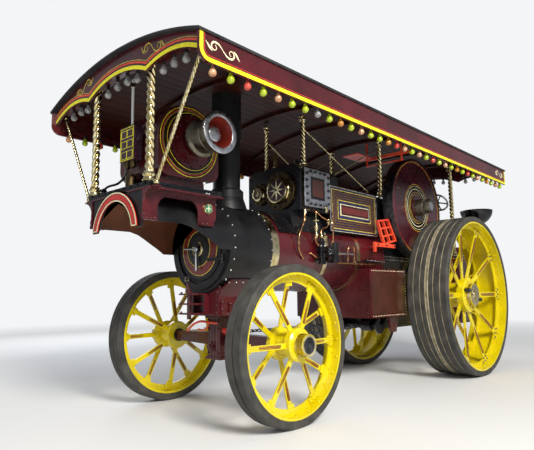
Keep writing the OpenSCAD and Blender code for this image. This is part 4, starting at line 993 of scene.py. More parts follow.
# %% Dust in the grooves
TYRE_FROM, TYRE_WIDTH, GROOVES = 0.64, 0.518, 5
DUST_HALF, DUST_IN, DUST_EDGE, DUST_MIDDLE = 0.0078, 1.0325, 1.0425, 1.0405  # half width, then three radii
tyre_middle = TYRE_FROM + TYRE_WIDTH / 2
skins = []
for part in range(1, GROOVES + 1):
    y = TYRE_FROM + TYRE_WIDTH * part / (GROOVES + 1)
    profile = [(DUST_IN, y - DUST_HALF), (DUST_EDGE, y - DUST_HALF), (DUST_MIDDLE, y),
               (DUST_EDGE, y + DUST_HALF), (DUST_IN, y + DUST_HALF)]
    skins.append(turned(profile, AT_REAR, Y, 120, hollow=True))
for y in (tyre_middle - 0.017, tyre_middle + 0.017):
    crown = [(1.0494, y - 0.008), (1.0507, y - 0.006), (1.0507, y + 0.006), (1.0494, y + 0.008)]
    skins.append(turned(crown, AT_REAR, Y, 240, hollow=True))
on_wheels("rear", "groove_dust", together(*skins), road_dust)

# %% [markdown]
# The smokebox door is ringed by a plain maroon band between two gold lines. A brass crescent stands round
# the handles, which are bright steel. All of it swings with the door.


# %% Smokebox door
DOOR = np.array([3.836, 0.0, 1.532])


def on_dish(r):
    """Height of the dished face ahead of the door's edge: 26 mm over the slope from radius 280 to 120 mm."""
    return 0.026 * np.clip((0.28 - np.asarray(r, float)) / 0.16, 0, 1)


def dish_band(inner, outer, lift):
    """Flat band on the dish between two radii, lying on it and lift thick."""
    r = np.array([outer, inner, inner, outer])
    h = on_dish(r) + np.array([lift, lift, -0.001, -0.001])
    return turned(np.stack([r, h], -1), DOOR, X, 80, hollow=True)


def arc_wire(radius, start, end, thick, n):
    """Wire on the door round part of a circle, between two angles in degrees."""
    return wire(ring_path(DOOR + [0.03, 0, 0], X, radius, 40, np.radians(start), np.radians(end)), thick, n)


strap_rivets = [(3.8785, y, DOOR[2] + s * 0.11) for s in (-1, 1) for y in (0.17, 0.22, 0.27)]
edge_rivets = ring_path(DOOR + [0.001, 0, 0], X, 0.29, 28)
HANDLE_R = [0.0105, 0.0105, 0.004]
level = wire(DOOR + [(0.044, -0.03, 0.001), (0.05, -0.185, 0.008), (0.05, -0.196, 0.008)], HANDLE_R, 12)
hanging = wire(DOOR + [(0.052, 0.002, -0.03), (0.056, 0.0115, -0.2), (0.056, 0.012, -0.211)], HANDLE_R, 12)
nut = copies([(0.03, 0.028), (0.03, 0.058), (0.024, 0.064), (0.01, 0.066)], [DOOR], X, 6)
for name, shape, paint in (
    ("maroon_band", dish_band(0.172, 0.248, 0.002), band_enamel),
    ("gold_lines", together(dish_band(0.248, 0.2545, 0.003), dish_band(0.1655, 0.172, 0.003)), gold_line),
    ("brass_crescent", together(arc_wire(0.068, -20, 250, 0.009, 10),
                                arc_wire(0.05, -10, 240, 0.004, 8)), brass),
    ("handles", together(level, hanging, nut), steel),
    ("rivets", together(rivets(strap_rivets, X, 0.007, 0.005), rivets(edge_rivets, X, 0.005, 0.004)),
     heat_black),
):
    put(f"door_{name}", shape, paint, "smokebox_door_body")

# %% [markdown]
# Steel plates overlap along the smokebox, and each seam has its row of cup-headed rivets, about 105 mm
# apart. Their heads are worn bright. Smaller black heads stand over the saddle and on the chimney.


# %% Smokebox and chimney rivets
def barrel_rivets(x, radius, start, end, pitch, r, h):
    """Rivets on the outside of a barrel along x, between two angles from the top, at one pitch."""
    count = int(radius * np.radians(end - start) / pitch) + 1
    a = np.radians(np.linspace(start, end, count))
    outward = np.stack([np.zeros(count), np.sin(a), np.cos(a)], -1)
    return rivets(outward * radius + [x, 0, BOILER_Z], outward, r, h)


smokebox_rows = [barrel_rivets(x, SMOKEBOX_R, -150, 150, 0.105, 0.0105, 0.008) for x in (3.776, 3.29)]
put("smokebox_rivets", together(*smokebox_rows), steel)
saddle_rows = [barrel_rivets(x, 0.434, -60, 60, 0.06, 0.008, 0.006) for x in (2.915, 3.115)]
put("saddle_plate_bolts", together(*saddle_rows), satin_black)
CHIMNEY_X, CHIMNEY_R, SEAM = 3.5, 0.1415, 0.5  # the seam's angle from the rear, in radians
put("chimney_ring_studs", studs(ring_path((CHIMNEY_X, 0.0, 2.13), Z, 0.156, 14), Z, 0.009, 0.01), satin_black)
seam = [(CHIMNEY_X - CHIMNEY_R * np.cos(SEAM), CHIMNEY_R * np.sin(SEAM), z)
        for z in np.arange(2.2, 2.64, 0.055)]
put("chimney_seam_rivets", rivets(seam, (-np.cos(SEAM), np.sin(SEAM), 0), 0.006, 0.004), satin_black)

# %% [markdown]
# Inside, the hood is painted rust brown. The lining is one thin sheet that follows the hood's own curve and
# its cut lower edge.

# %% Brown lining of the hood
hood_x = np.array([3.852, 3.955, 4.02, 4.1, 4.18, 4.26, 4.35, 4.45, 4.55, 4.65, 4.712])
hood_low = np.interp(hood_x, [3.83, 3.955, 4.02, 4.18, 4.26, 4.35, 4.8],
                     [1.505, 1.505, 1.55, 1.637, 1.675, 1.697, 1.697])
LINING_R = np.array([0.4237, 0.4215])
rise = np.arcsin((hood_low - BOILER_Z) / LINING_R[0])[:, None]
angle = rise + (np.pi - 2 * rise) * np.linspace(0, 1, 40)
sheet = np.concatenate([angle, angle[:, ::-1]], 1)
reach = np.repeat(LINING_R, 40)
along_hood = np.broadcast_to(hood_x[:, None], sheet.shape)
hood_rings = np.stack([along_hood, reach * np.cos(sheet), BOILER_Z + reach * np.sin(sheet)], -1)
put("hood_brown_lining", net(hood_rings), hood_brown)

# %% [markdown]
# The arch-shaped sign under the table is plain red. It keeps its two cream borders and the brown line
# beside each of them.

# %% Arch sign border
SIGN_X, SIGN_Z, SIGN_FOOT = 4.752, 1.603, 0.05
for colour, paint, arcs in (("cream", cream_line, [(0.3465, 0.011), (0.2815, 0.011)]),
                            ("dark", dark_line, [(0.3385, 0.004), (0.2895, 0.004)])):
    made = []
    for r, w in arcs:
        first = np.arcsin(SIGN_FOOT / r)
        t = np.linspace(first, np.pi - first, 60)
        made.append(stroke(np.stack([np.full(60, SIGN_X), r * np.cos(t), SIGN_Z + r * np.sin(t)], -1), X, w))
    put(f"arch_sign_{colour}_border", together(*made), paint)
ends = [stroke([(SIGN_X, s * y, SIGN_Z + SIGN_FOOT - 0.0005) for y in (0.277, 0.3465)], X, 0.009)
        for s in (1, -1)]
put("arch_sign_end_border", together(*ends), cream_line)

# %% [markdown]
# The dynamo's end is lined in rings, from the rim inwards: yellow, purple, red, olive green and black. Inside
# them stands a stepped ring with a yellow line, held by bolts. The edges of the field coils show as ribs
# round the case.

# %% Dynamo face
DYNAMO = np.array([4.2, 0.0, 2.44])
DYNAMO_FACE, DYNAMO_STEP = DYNAMO + [0, 0.3, 0], DYNAMO + [0, 0.3225, 0]
FACE_RINGS = [("yellow_ring", yellow_line, 0.312, 0.006), ("purple_ring", purple, 0.302, 0.012),
              ("red_ring", red_line, 0.292, 0.008), ("green_ring", green_line, 0.2825, 0.008),
              ("black_ring", gloss_black, 0.2725, 0.012)]
STEP_RINGS = [("step_line", yellow_line, 0.256, 0.004), ("step_groove", gloss_black, 0.246, 0.012)]
for middle, ring_list, points in ((DYNAMO_FACE, FACE_RINGS, 100), (DYNAMO_STEP, STEP_RINGS, 90)):
    for name, paint, r, w in ring_list:
        put(f"dynamo_{name}", both(circle_stroke(middle, Y, r, w, points)), paint)
STEP = [(0.2628, 0.001), (0.2628, 0.0225), (0.207, 0.0225), (0.207, 0.001)]
put("dynamo_outer_step", both(turned(STEP, DYNAMO_FACE, Y, 80, hollow=True)), maroon)
BOLT_CIRCLES = [(0.234, 0.322, 12, 0.0115, maroon), (0.178, 0.35, 10, 0.01, lake),
                (0.105, 0.384, 8, 0.0085, satin_black)]  # radius, y, bolts, size of head, paint
for k, (r, y, count, size, paint) in enumerate(BOLT_CIRCLES):
    put(f"dynamo_bolts_{k}", both(studs(ring_path(DYNAMO + [0, y, 0], Y, r, count), Y, size, 0.011)), paint)
CASE_R = 0.33
a = np.radians(np.linspace(0, 180, 60))
outward = np.stack([np.cos(a), np.zeros(60), np.sin(a)], -1)
ribs = [carried(section(0.009, -0.001, 0.007, 0.008), DYNAMO + CASE_R * outward + [0, y, 0], outward)
        for y in (0.262, 0.19, 0.118, 0.046)]
put("dynamo_case_ribs", both(*ribs), lake)
put("dynamo_lifting_eye", wire(ring_path(DYNAMO + [0.02, 0, 0.368], X, 0.032, 24), 0.009, 8), satin_black)
put("dynamo_foot_bolts", both(studs(grid((4.01, 4.46), (0.17, 0.22), (2.118,)), Z, 0.012, 0.014)), steel)

# %% [markdown]
# The pulley is bare iron outside, with a bright machined lip. The dish in its face is painted red-brown.

# %% Pulley dressing
RED_DISH = [(0.1312, 0.2612), (0.1072, 0.1015), (0.066, 0.1015), (0.066, 0.1005), (0.1088, 0.0995),
            (0.1335, 0.2605)]
BRIGHT_LIP = [(0.1805, 0.2625), (0.1785, 0.264), (0.134, 0.264), (0.132, 0.2625)]
BOSS_FACE = [(0.0645, 0.186), (0.0645, 0.1905), (0.058, 0.194), (0.031, 0.194), (0.031, 0.203),
             (0.012, 0.206)]
WAIST_BEAD = [(0.1335, 0.112), (0.1375, 0.118), (0.1375, 0.132), (0.1335, 0.138)]
PULLEY = DYNAMO + [0, 0.45, 0]
for name, profile, n, hollow, paint in (
    ("red_dish", RED_DISH, 72, True, pulley_red), ("bright_lip", BRIGHT_LIP, 72, True, steel),
    ("boss_face", BOSS_FACE, 32, False, steel), ("waist_bead", WAIST_BEAD, 60, True, cast_iron),
):
    put(f"pulley_{name}", turned(profile, PULLEY, Y, n, hollow), paint, "dynamo_pulley_body")

# %% [markdown]
# Ahead of the dynamo stands a terminal box. Its panel is lined in yellow and is otherwise plain. A white
# conduit brings the lamp wires down from the roof, and a black cable runs to a clamp on the table.


# %% Terminal box, conduit and cable
def facing_frame(x, y0, y1, z0, z1, width):
    """Line round a box on a face that looks ahead, along x, or back where x is behind the middle."""
    path = np.array([(x, y0, z0), (x, y1, z0), (x, y1, z1), (x, y0, z1)], float)
    return stroke(path, np.sign(x) * X, width, ring=True)


BOX_FACE = 4.64
small_frames = grid((BOX_FACE,), (-0.1, -0.008), (2.272, 2.365, 2.458))
box_lines = [facing_frame(BOX_FACE, -0.112, 0.092, 2.258, 2.542, 0.005)]
box_lines += [facing_frame(x, y, y + 0.088, z, z + 0.062, 0.004) for x, y, z in small_frames]
put("box_yellow_lines", together(*box_lines), yellow_line)
lid = wire([(4.563, -0.122, 2.552), (4.637, -0.122, 2.552), (4.637, 0.102, 2.552), (4.563, 0.102, 2.552)],
           0.006, 8)
put("box_lid_bead", lid, satin_black)
put("box_screws", rivets(grid((4.641,), (-0.114, 0.094), (2.256, 2.4, 2.544)), X, 0.005, 0.003), brass)
put("lamp_conduit", wire([(4.5, -0.168, 3.07), (4.5, -0.155, 2.58)], 0.013, 14), white)
CONDUIT_NUT = [(0.02, 0), (0.02, 0.03), (0.014, 0.04)]
put("lamp_conduit_nuts", copies(CONDUIT_NUT, [(4.5, -0.155, 2.56), (4.5, -0.167, 3.0)], Z, 6), brass)
glands = copies([(0.026, 0), (0.026, -0.05), (0.018, -0.06)], [(4.6, -0.06, 2.25), (4.6, 0.03, 2.25)], Z, 16)
socket = copies([(0.045, 0), (0.045, 0.12), (0.03, 0.14)], [(4.6, 0.0, 1.991)], Z, 20)
put("box_cable_gland", together(glands, socket), bronze)
CABLE = [(4.6, -0.06, 2.2), (4.605, -0.09, 2.13), (4.62, -0.18, 2.08), (4.64, -0.3, 2.07),
         (4.65, -0.37, 2.045)]
clamp = together(turned([(0.03, 0), (0.03, 0.16), (0.024, 0.17)], (4.65, -0.36, 2.03), -Y, 20),
                 turned([(0.02, 0), (0.02, 0.05)], (4.65, -0.53, 2.03), -Y, 16),
                 copies([(0.05, 0), (0.05, 0.035), (0.03, 0.04)], [(4.65, -0.44, 1.991)], Z, 4))
put("box_cable_and_clamp", together(pipe(CABLE, 0.011, 12), clamp), satin_black)

# %% [markdown]
# The table's black beams are bolted through the maroon plate under them. The side brackets stand on riveted
# feet, and a green glass badge in a brass rim sits on the left one.

# %% Table and brackets
TABLE_Y, TABLE_FRONT, BEAM_Z = 0.49, 4.729, 1.981
beam_side = grid(np.linspace(4.05, 4.68, 6), (TABLE_Y,), (BEAM_Z,))
beam_front = grid((TABLE_FRONT,), np.linspace(-0.42, 0.42, 9), (BEAM_Z,))
put("table_beam_bolts", both(studs(beam_side, Y, 0.009, 0.008)), satin_black)
put("table_bright_bolts", both(studs(grid((4.14, 4.165), (TABLE_Y,), (1.955,)), Y, 0.0095, 0.009)), steel)
put("table_front_bolts", studs(beam_front, X, 0.009, 0.008), satin_black)
foot_spots = grid((4.05, 4.104, 4.158, 4.635, 4.675, 4.715), (0.43,), (1.706,))
put("bracket_foot_rivets", both(rivets(foot_spots, Y, 0.0105, 0.009)), maroon)
put("table_plate_rivets",
    both(rivets(grid(np.linspace(4.03, 4.7, 9), (0.5,), (1.939,)), Y, 0.0045, 0.003)), maroon)
BEAD_PATH = [(4.015, 1.77), (4.05, 1.7), (4.175, 1.7), (4.186, 1.79), (4.206, 1.855), (4.286, 1.898),
             (4.508, 1.898), (4.588, 1.855), (4.608, 1.79), (4.618, 1.7), (4.73, 1.7)]
put("bracket_edge_bead", both(pipe([(x, 0.4155, z) for x, z in BEAD_PATH], 0.004, 6, 5)), lake)
BADGE = np.array([4.088, 0.414, 1.842])
BADGE_RIM = [(0.047, 0), (0.047, 0.012), (0.041, 0.018), (0.034, 0.016), (0.034, 0.002)]
put("badge_rim", turned(BADGE_RIM, BADGE, Y, 36, hollow=True), brass)
put("badge_glass", turned([(0.035, 0.004), (0.033, 0.01), (0.02, 0.014), (0.004, 0.015)], BADGE, Y, 32),
    badge_glass)
cross_middle = BADGE + [0, 0.0145, 0]
arms = [carried(section(0.003, 0, 0.003, 0.002), cross_middle + np.outer((-0.03, 0.03), way), Y)
        for way in (X, Z)]
put("badge_cross", together(*arms), cream_line)
TABLE_KNOB = [(0.004, 0), (0.004, 0.05), (0.01, 0.054), (0.013, 0.064), (0.009, 0.073), (0.003, 0.076)]
put("table_white_knob", turned(TABLE_KNOB, (4.15, 0.44, 1.99), Z, 20), white)

# %% [markdown]
# The water tank under the boiler is built of plates on angle iron, so rivets run along its edges. A plain
# brown panel on its side is ringed by pale rivets.

# %% Belly tank
TANK, TANK_Y, TANK_EDGE = (0.9, 1.755, 0.8, 1.38), 0.55, 0.022
TANK_FRONT = 1.763
TANK_RIVET = (0.0065, 0.005)  # radius and height
x0, x1, z0, z1 = shrunk(TANK, TANK_EDGE)
xa, xb, za, zb = shrunk(TANK, TANK_EDGE, 0.055)
side_places = np.vstack([rows(24, *[((x0, TANK_Y, z), (x1, TANK_Y, z)) for z in (z0, z1)]),
                         rows(14, *[((x, TANK_Y, za), (x, TANK_Y, zb)) for x in (xa, xb)])])
front_places = np.vstack([rows(30, ((TANK_FRONT, -0.52, 0.826), (TANK_FRONT, 0.52, 0.826)))]
                         + [rows(7, ((TANK_FRONT, y, 0.86), (TANK_FRONT, y, 1.1))) for y in (0.525, -0.525)])
top_front = np.vstack([rows(3, ((TANK[1], 0.46, 1.362), (TANK[1], 0.54, 1.362))),
                       rows(5, ((TANK[1], 0.528, 1.15), (TANK[1], 0.528, 1.33)))])
put("tank_brown_panel", both(slab(shrunk(TANK, 0.045), TANK_Y, 0.003, 0.001)), brown)
put("tank_side_rivets", both(rivets(side_places, Y, *TANK_RIVET)), cream_line)
put("tank_front_rivets", rivets(front_places, X, *TANK_RIVET), maroon)
put("tank_corner_rivets", both(rivets(top_front, X, *TANK_RIVET)), maroon)
corner_ends = [(1.742, TANK_Y, TANK[2] + 0.004), (1.742, TANK_Y, TANK[3] - 0.004)]
put("tank_corner_angle", both(carried(section(0.02, -0.001, 0.02, 0.005), corner_ends, Y)), maroon)
bracket = carried(section(0.11, 0, 0.06, 0.2), [(1.06, 0.42, 0.8), (1.06, 0.45, 0.8)], -Z)
put("tank_support_bracket", both(bracket), maroon)

# %% [markdown]
# The perch bracket carries the smokebox on the front axle. Rivets run under the smokebox, a strap is bolted
# to its side, and a round white cap closes the oil hole of the king pin.

# %% Perch bracket and front axle
PERCH_RIVET = (0.009, 0.007)
PERCH_Y, SADDLE_Z, SADDLE_OUT, SADDLE_UP = 0.232, 1.08, 0.088, 0.16  # foot of the slope, its run and rise
SADDLE_FACE, SHARE = (0, 0.876, -0.482), 0.82  # the way the slope looks, and how far up it the rivets stand
saddle_y, saddle_z = PERCH_Y + SADDLE_OUT * SHARE, SADDLE_Z + SADDLE_UP * SHARE
saddle_spots = grid((3.47, 3.56, 3.65, 3.735), (saddle_y,), (saddle_z,))
put("perch_saddle_rivets", both(rivets(saddle_spots, SADDLE_FACE, *PERCH_RIVET)), steel)
strap_path = [(3.768, 0.238, 1.045), (3.768, 0.238, 0.93), (3.668, 0.238, 0.918), (3.668, 0.238, 1.03)]
strap_bolts = [(x, 0.248, z) for x, z in ((3.768, 1.03), (3.768, 0.965), (3.668, 1.015), (3.7, 0.922))]
put("perch_strap", both(carried(section(0.016, -0.004, 0.016, 0.01), strap_path, Y)), maroon)
put("perch_strap_bolts", both(studs(strap_bolts, Y, 0.013, 0.012)), maroon)
PERCH_CAP = [(0.022, 0), (0.022, 0.012), (0.018, 0.02), (0.006, 0.022)]
put("perch_white_cap", both(turned(PERCH_CAP, (3.567, PERCH_Y, 1.006), Y, 24)), white)
put("perch_front_rivets", rivets(grid((3.8,), (-0.2, 0.2), (0.94, 1.0, 1.06, 1.12)), X, *PERCH_RIVET), maroon)
put("nose_bolts", studs(grid((4.0,), (-0.065, 0.065), (1.114, 1.025, 0.936)), Z, 0.011, 0.01), maroon)
put("tow_pin_ring", wire(ring_path((3.99, 0.0, 1.245), Y, 0.022, 20), 0.006, 8), cast_iron)
long_arm = [(3.72, 0.11, 0.835), (3.73, 0.02, 0.84), (3.73, -0.12, 0.845), (3.715, -0.25, 0.81),
            (3.7, -0.36, 0.745)]
short_arm = [(3.71, -0.02, 0.84), (3.7, -0.05, 0.79), (3.69, -0.12, 0.76), (3.69, -0.2, 0.765)]
axle_bolts = grid((3.66,), (-0.075, 0.075), (0.55, 0.78, 0.86))
flange_rivets = grid((3.679,), np.linspace(-0.09, 0.09, 6), (0.502, 0.888))
COLLAR = [(0.052, 0), (0.066, 0.004), (0.066, 0.02), (0.052, 0.024)]
for name, shape, paint in (
    ("axle_orange_lever", together(pipe(long_arm, 0.012, 10), pipe(short_arm, 0.009, 10)), flame),
    ("axle_spring", coil((3.665, 0.15, 0.76), X, Z, Y, 0.022, 0.09, 9, 0.004, 200), scarlet),
    ("fork_bolts", studs(axle_bolts, X, 0.01, 0.01), maroon),
    ("fork_flange_rivets", rivets(flange_rivets, X, 0.007, 0.005), maroon),
    ("axle_collars", both(turned(COLLAR, (WHEELBASE, 0.682, AT_FRONT[2]), Y, 32, hollow=True)), satin_black),
):
    put(name, shape, paint, "front_axle_body")

# %% [markdown]
# Between the valve chest and the boiler run the small pipes that feed oil, steam and water. Brass elbows and
# hand wheels are joined by copper pipe of 16 to 19 mm, bent cold round a former.


# %% Pipes and valves at the boiler's side
def hand_wheel(centre, axis, radius, thick=0.004):
    """Small valve wheel: a wire ring, four spokes and a boss."""
    axis, side, up = across(axis)
    centre = np.array(centre, float)
    arms = [wire([centre - radius * d, centre + radius * d], 0.8 * thick, 6) for d in (side, up)]
    boss = turned([(0.3 * radius, -0.008), (0.34 * radius, 0), (0.3 * radius, 0.01)], centre, axis, 12)
    return together(hoop(centre, axis, radius, thick, 7, 28), boss, *arms)


def union_nut(places, axis, r=0.017, length=0.024):
    """Hexagon nuts on a pipe, each with one end chamfered."""
    return copies([(r, -length / 2), (r, 0.4 * length), (0.75 * r, length / 2)], places, axis, 6)


def globe(centre, r=0.026):
    """Valve body: a ball with a collar above and below it, as (radius, height) in parts of r."""
    profile = [(0.35, -1.9), (0.6, -1.5), (0.6, -0.95), (0.98, -0.45), (1.05, 0), (0.98, 0.45), (0.6, 0.95),
               (0.6, 1.5), (0.35, 1.9)]
    return turned(r * np.array(profile), centre, Z, 18)


COPPER_RUNS = [
    (0.0095, [(2.776, 0.432, 1.958), (2.79, 0.437, 1.92), (2.8, 0.44, 1.86), (2.875, 0.448, 1.74),
              (2.902, 0.45, 1.68), (2.905, 0.448, 1.56), (2.87, 0.444, 1.5), (2.81, 0.42, 1.46),
              (2.79, 0.33, 1.45)]),
    (0.0085, [(2.61, 0.452, 1.775), (2.615, 0.455, 1.72), (2.64, 0.458, 1.69), (2.63, 0.46, 1.64),
              (2.59, 0.47, 1.6)]),
    (0.008, [(2.58, 0.37, 2.0), (2.56, 0.42, 1.975), (2.5, 0.44, 1.93), (2.42, 0.445, 1.905),
             (2.38, 0.447, 1.87), (2.43, 0.45, 1.82), (2.51, 0.45, 1.793), (2.545, 0.455, 1.7),
             (2.53, 0.46, 1.61), (2.47, 0.465, 1.545)]),
    (0.0085, [(2.04, 0.45, 1.45), (2.045, 0.455, 1.5), (2.04, 0.46, 1.6), (2.0, 0.462, 1.636),
              (1.94, 0.462, 1.63), (1.92, 0.46, 1.59), (1.92, 0.455, 1.45)]),
    (0.008, [(2.72, 0.33, 1.53), (2.69, 0.43, 1.52), (2.6, 0.45, 1.475), (2.48, 0.455, 1.45),
             (2.4, 0.46, 1.443)]),
    (0.009, [(2.62, 0.455, 1.93), (2.62, 0.452, 1.975), (2.62, 0.41, 2.0), (2.62, 0.37, 2.0)]),
]
put("copper_pipes", both(*[pipe(points, r, 12) for r, points in COPPER_RUNS]), copper)
elbow = pipe([(2.776, 0.432, 1.958), (2.772, 0.43, 1.978), (2.752, 0.425, 1.985), (2.73, 0.41, 1.985)],
             0.0155, 14)
small_nuts = [(2.902, 0.449, 1.62), (2.53, 0.458, 1.69), (2.045, 0.456, 1.5), (1.92, 0.456, 1.5)]
elbow_ends = together(union_nut([(2.779, 0.433, 1.948)], (0.2, 0.05, -1)),
                      union_nut([(2.742, 0.42, 1.985)], (1, 0.5, 0)),
                      union_nut(small_nuts, Z, 0.014))
OIL_POT = [(0.022, 0), (0.024, 0.02), (0.018, 0.05), (0.02, 0.06), (0.012, 0.075)]
valves = together(globe((2.62, 0.455, 1.805)), globe((2.62, 0.455, 1.72), 0.021),
                  globe((2.39, 0.4465, 1.88), 0.02),
                  turned([(0.008, 0), (0.008, 0.13)], (2.62, 0.455, 1.84), Z, 10),
                  turned(OIL_POT, (2.4, 0.43, 1.985), Z, 18))
wheels = together(hand_wheel((2.62, 0.455, 1.875), Z, 0.034), hand_wheel((2.39, 0.48, 1.88), Y, 0.026))
put("brass_elbow_and_valves", both(elbow, elbow_ends, valves, wheels), brass)
LUBRICATOR = [(0.03, -0.055), (0.034, -0.05), (0.034, -0.02), (0.028, -0.014), (0.028, 0.035), (0.034, 0.04),
              (0.034, 0.05), (0.02, 0.062), (0.011, 0.07), (0.011, 0.09), (0.005, 0.095)]
put("sight_lubricator", both(turned(LUBRICATOR, (2.49, 0.468, 1.66), Z, 22)), brass)

# %% [markdown]
# The feed pump stands on the left side of the boiler. Its black body has flanged valve chambers above and
# below, nuts round each flange, and a ram that runs back along the boiler.

# %% Feed pump
PUMP = np.array([2.56, 0.478, 1.535])
CHAMBER = [(0.03, -0.13), (0.042, -0.125), (0.042, -0.11), (0.03, -0.105), (0.03, -0.06), (0.046, -0.055),
           (0.046, -0.036), (0.035, -0.03), (0.035, 0.04), (0.046, 0.045), (0.046, 0.062), (0.03, 0.068),
           (0.028, 0.1), (0.04, 0.104), (0.04, 0.118), (0.02, 0.124), (0.018, 0.15), (0.008, 0.155)]
SIDE_CHAMBER = [(0.026, 0), (0.038, 0.004), (0.038, 0.02), (0.024, 0.026), (0.024, 0.07), (0.034, 0.074),
                (0.034, 0.088), (0.01, 0.094)]
NECK = [(0.024, 0), (0.024, 0.23), (0.03, 0.235), (0.03, 0.25), (0.01, 0.255)]
GLAND = [(0.028, 0), (0.034, 0.004), (0.034, 0.02), (0.026, 0.026)]
pump_foot = carried(section(0.05, -0.012, 0.04, 0.012), [(2.56, 0.42, 1.46), (2.56, 0.47, 1.46)], Z)
pump_parts = [turned(CHAMBER, PUMP, Z, 26), turned(SIDE_CHAMBER, PUMP + [0, 0.02, 0], Y, 22),
              turned(NECK, PUMP - [0.02, 0, 0], -X, 18), pump_foot]
pump_nuts = [studs(ring_path(PUMP + [0, 0, h], Z, 0.038, 6), Z, 0.0075, 0.009) for h in (0.062, -0.055)]
pump_nuts.append(studs(ring_path(PUMP + [0, 0.108, 0], Y, 0.025, 5), Y, 0.006, 0.007))
put("feed_pump_body", together(*pump_parts), gloss_black)
put("feed_pump_nuts", together(*pump_nuts), steel)
gland = turned(GLAND, PUMP - [0.27, 0, 0], -X, 20)
put("pump_brass_gland", together(gland, globe(PUMP + [0, 0, 0.175], 0.018)), brass)
put("pump_ram", wire([(2.3, 0.478, 1.535), (1.95, 0.478, 1.54)], 0.011, 12), steel)
suction = [(2.56, 0.478, 1.42), (2.5, 0.47, 1.438), (2.3, 0.455, 1.442), (1.8, 0.45, 1.452),
           (1.62, 0.445, 1.462)]
put("black_suction_pipe", both(pipe(suction, 0.012, 12)), gloss_black)
put("suction_pipe_clips", both(union_nut([(2.2, 0.454, 1.4445), (1.9, 0.451, 1.45)], X, 0.019, 0.018)), steel)

# %% [markdown]
# The safety valves stand on the cylinder's top, each with a spring, and a brass whistle beside them. Bolts
# run along the upper edges and the front of the cylinder casting.

# %% Cylinder dressing
WHISTLE = [(0.02, 0), (0.02, 0.02), (0.008, 0.026), (0.008, 0.06), (0.027, 0.066), (0.027, 0.075),
           (0.0265, 0.2), (0.02, 0.215), (0.005, 0.222)]
top_bolts = grid(np.linspace(2.16, 2.75, 8), (0.3435, -0.3435), (2.4675,))
put("cylinder_top_bolts", rivets(top_bolts, [(0, 0.35, 0.94), (0, -0.35, 0.94)] * 8, 0.008, 0.006),
    satin_black)
front_bolts = grid((CYLINDER_FRONT,), (0.36, -0.36), (2.02, 2.12, 2.22, 2.32, 2.41))
put("cylinder_front_bolts", studs(front_bolts, X, 0.011, 0.011), satin_black)
put("whistle_bell", turned(WHISTLE, (2.56, -0.18, 2.52), Z, 24), brass)
springs = [coil((2.31, y, 2.655), X, Y, Z, 0.027, 0.05, 7, 0.0035, 150) for y in (-0.06, 0.06)]
put("safety_valve_springs", together(*springs), dark_steel)
put("safety_valve_nuts", studs(grid((2.23, 2.39), (-0.09, 0.09), (2.54,)), Z, 0.014, 0.014), steel)

# %% [markdown]
# Along the firebox side the plates show two rows of small bright rivets, with a black shelf ahead of them.
# The hornplate's edges carry rivets too, and the crankshaft bearings have brass rings.

# %% Firebox and hornplates
PLATE_Y = 0.3505


def plate_rows(count, *ends):
    """Rows on the plate, each from one (x, z) to another."""
    return rows(count, *[((xa, PLATE_Y, za), (xb, PLATE_Y, zb)) for (xa, za), (xb, zb) in ends])


bright_rows = plate_rows(24, *[((1.19, z), (0.36, z)) for z in (1.52, 1.56)])
horn_edge = np.vstack([plate_rows(9, ((1.205, 1.87), (1.205, 2.3))),
                       plate_rows(20, ((0.2, 2.305), (1.18, 2.305))),
                       plate_rows(12, ((0.1, 1.62), (0.17, 2.24)))])
stay_heads = plate_rows(20, *[((0.24, z), (1.14, z)) for z in (0.68, 0.72, 1.2)])
put("firebox_rivet_rows", both(rivets(bright_rows, Y, 0.006, 0.005)), steel)
put("hornplate_rivets", both(rivets(horn_edge, Y, 0.008, 0.006)), satin_black)
put("firebox_stay_heads", both(rivets(stay_heads, Y, 0.008, 0.005)), satin_black)
BEARING = [(0.0955, 0.352), (0.0985, 0.354), (0.0985, 0.366), (0.09, 0.3735), (0.062, 0.3735), (0.06, 0.352)]
put("crank_bearing_rings", both(turned(BEARING, CRANK_MIDDLE, Y, 40, hollow=True)), brass)
cap_bolts = ring_path(CRANK_MIDDLE + [0, 0.37, 0], Y, 0.078, 6, 0.4, 0.4 + 2 * np.pi * 5 / 6)
put("crank_bearing_bolts", both(studs(cap_bolts, Y, 0.008, 0.008)), dark_steel)
put("boiler_side_shelf", both(carried(section(0.02, -0.008, 0.02, 0.008),
                                      [(1.64, 0.43, 1.484), (1.2, 0.43, 1.476)], Z)),
    satin_black)
shelf_row = rows(16, ((1.63, 0.4505, 1.484), (1.21, 0.4505, 1.476)))
put("shelf_rivets", both(rivets(shelf_row, Y, 0.005, 0.004)), steel)

# %% [markdown]
# The gear guard on the right side is a closed maroon case over the road gears. A gold line runs inside its
# edge, and small bolts hold the cover on.


# %% Gear guard lining
def hull_outline(discs, inset, count=24):
    """Outline round two discs (x, z, r), each shrunk by inset: an arc of each joined by the two outer
    tangents, which leave at an angle of arccos of the difference of radii over the distance."""
    (x0, z0, r0), (x1, z1, r1) = discs
    away = np.arctan2(z1 - z0, x1 - x0)
    lean = np.arccos((r0 - r1) / np.hypot(x1 - x0, z1 - z0))
    arcs = ((x1, z1, r1 - inset, away - lean, away + lean),
            (x0, z0, r0 - inset, away + lean, away - lean + 2 * np.pi))
    points = []
    for x, z, r, start, end in arcs:
        t = np.linspace(start, end, count)
        points.append(np.stack([x + r * np.cos(t), np.full(count, GUARD_Y), z + r * np.sin(t)], -1))
    return np.vstack(points)


def opened(path):
    """A closed outline with a part cut away, started anew just after its widest gap."""
    gaps = np.linalg.norm(np.diff(path, axis=0, append=path[:1]), axis=1)
    return np.roll(path, -np.argmax(gaps) - 1, 0)


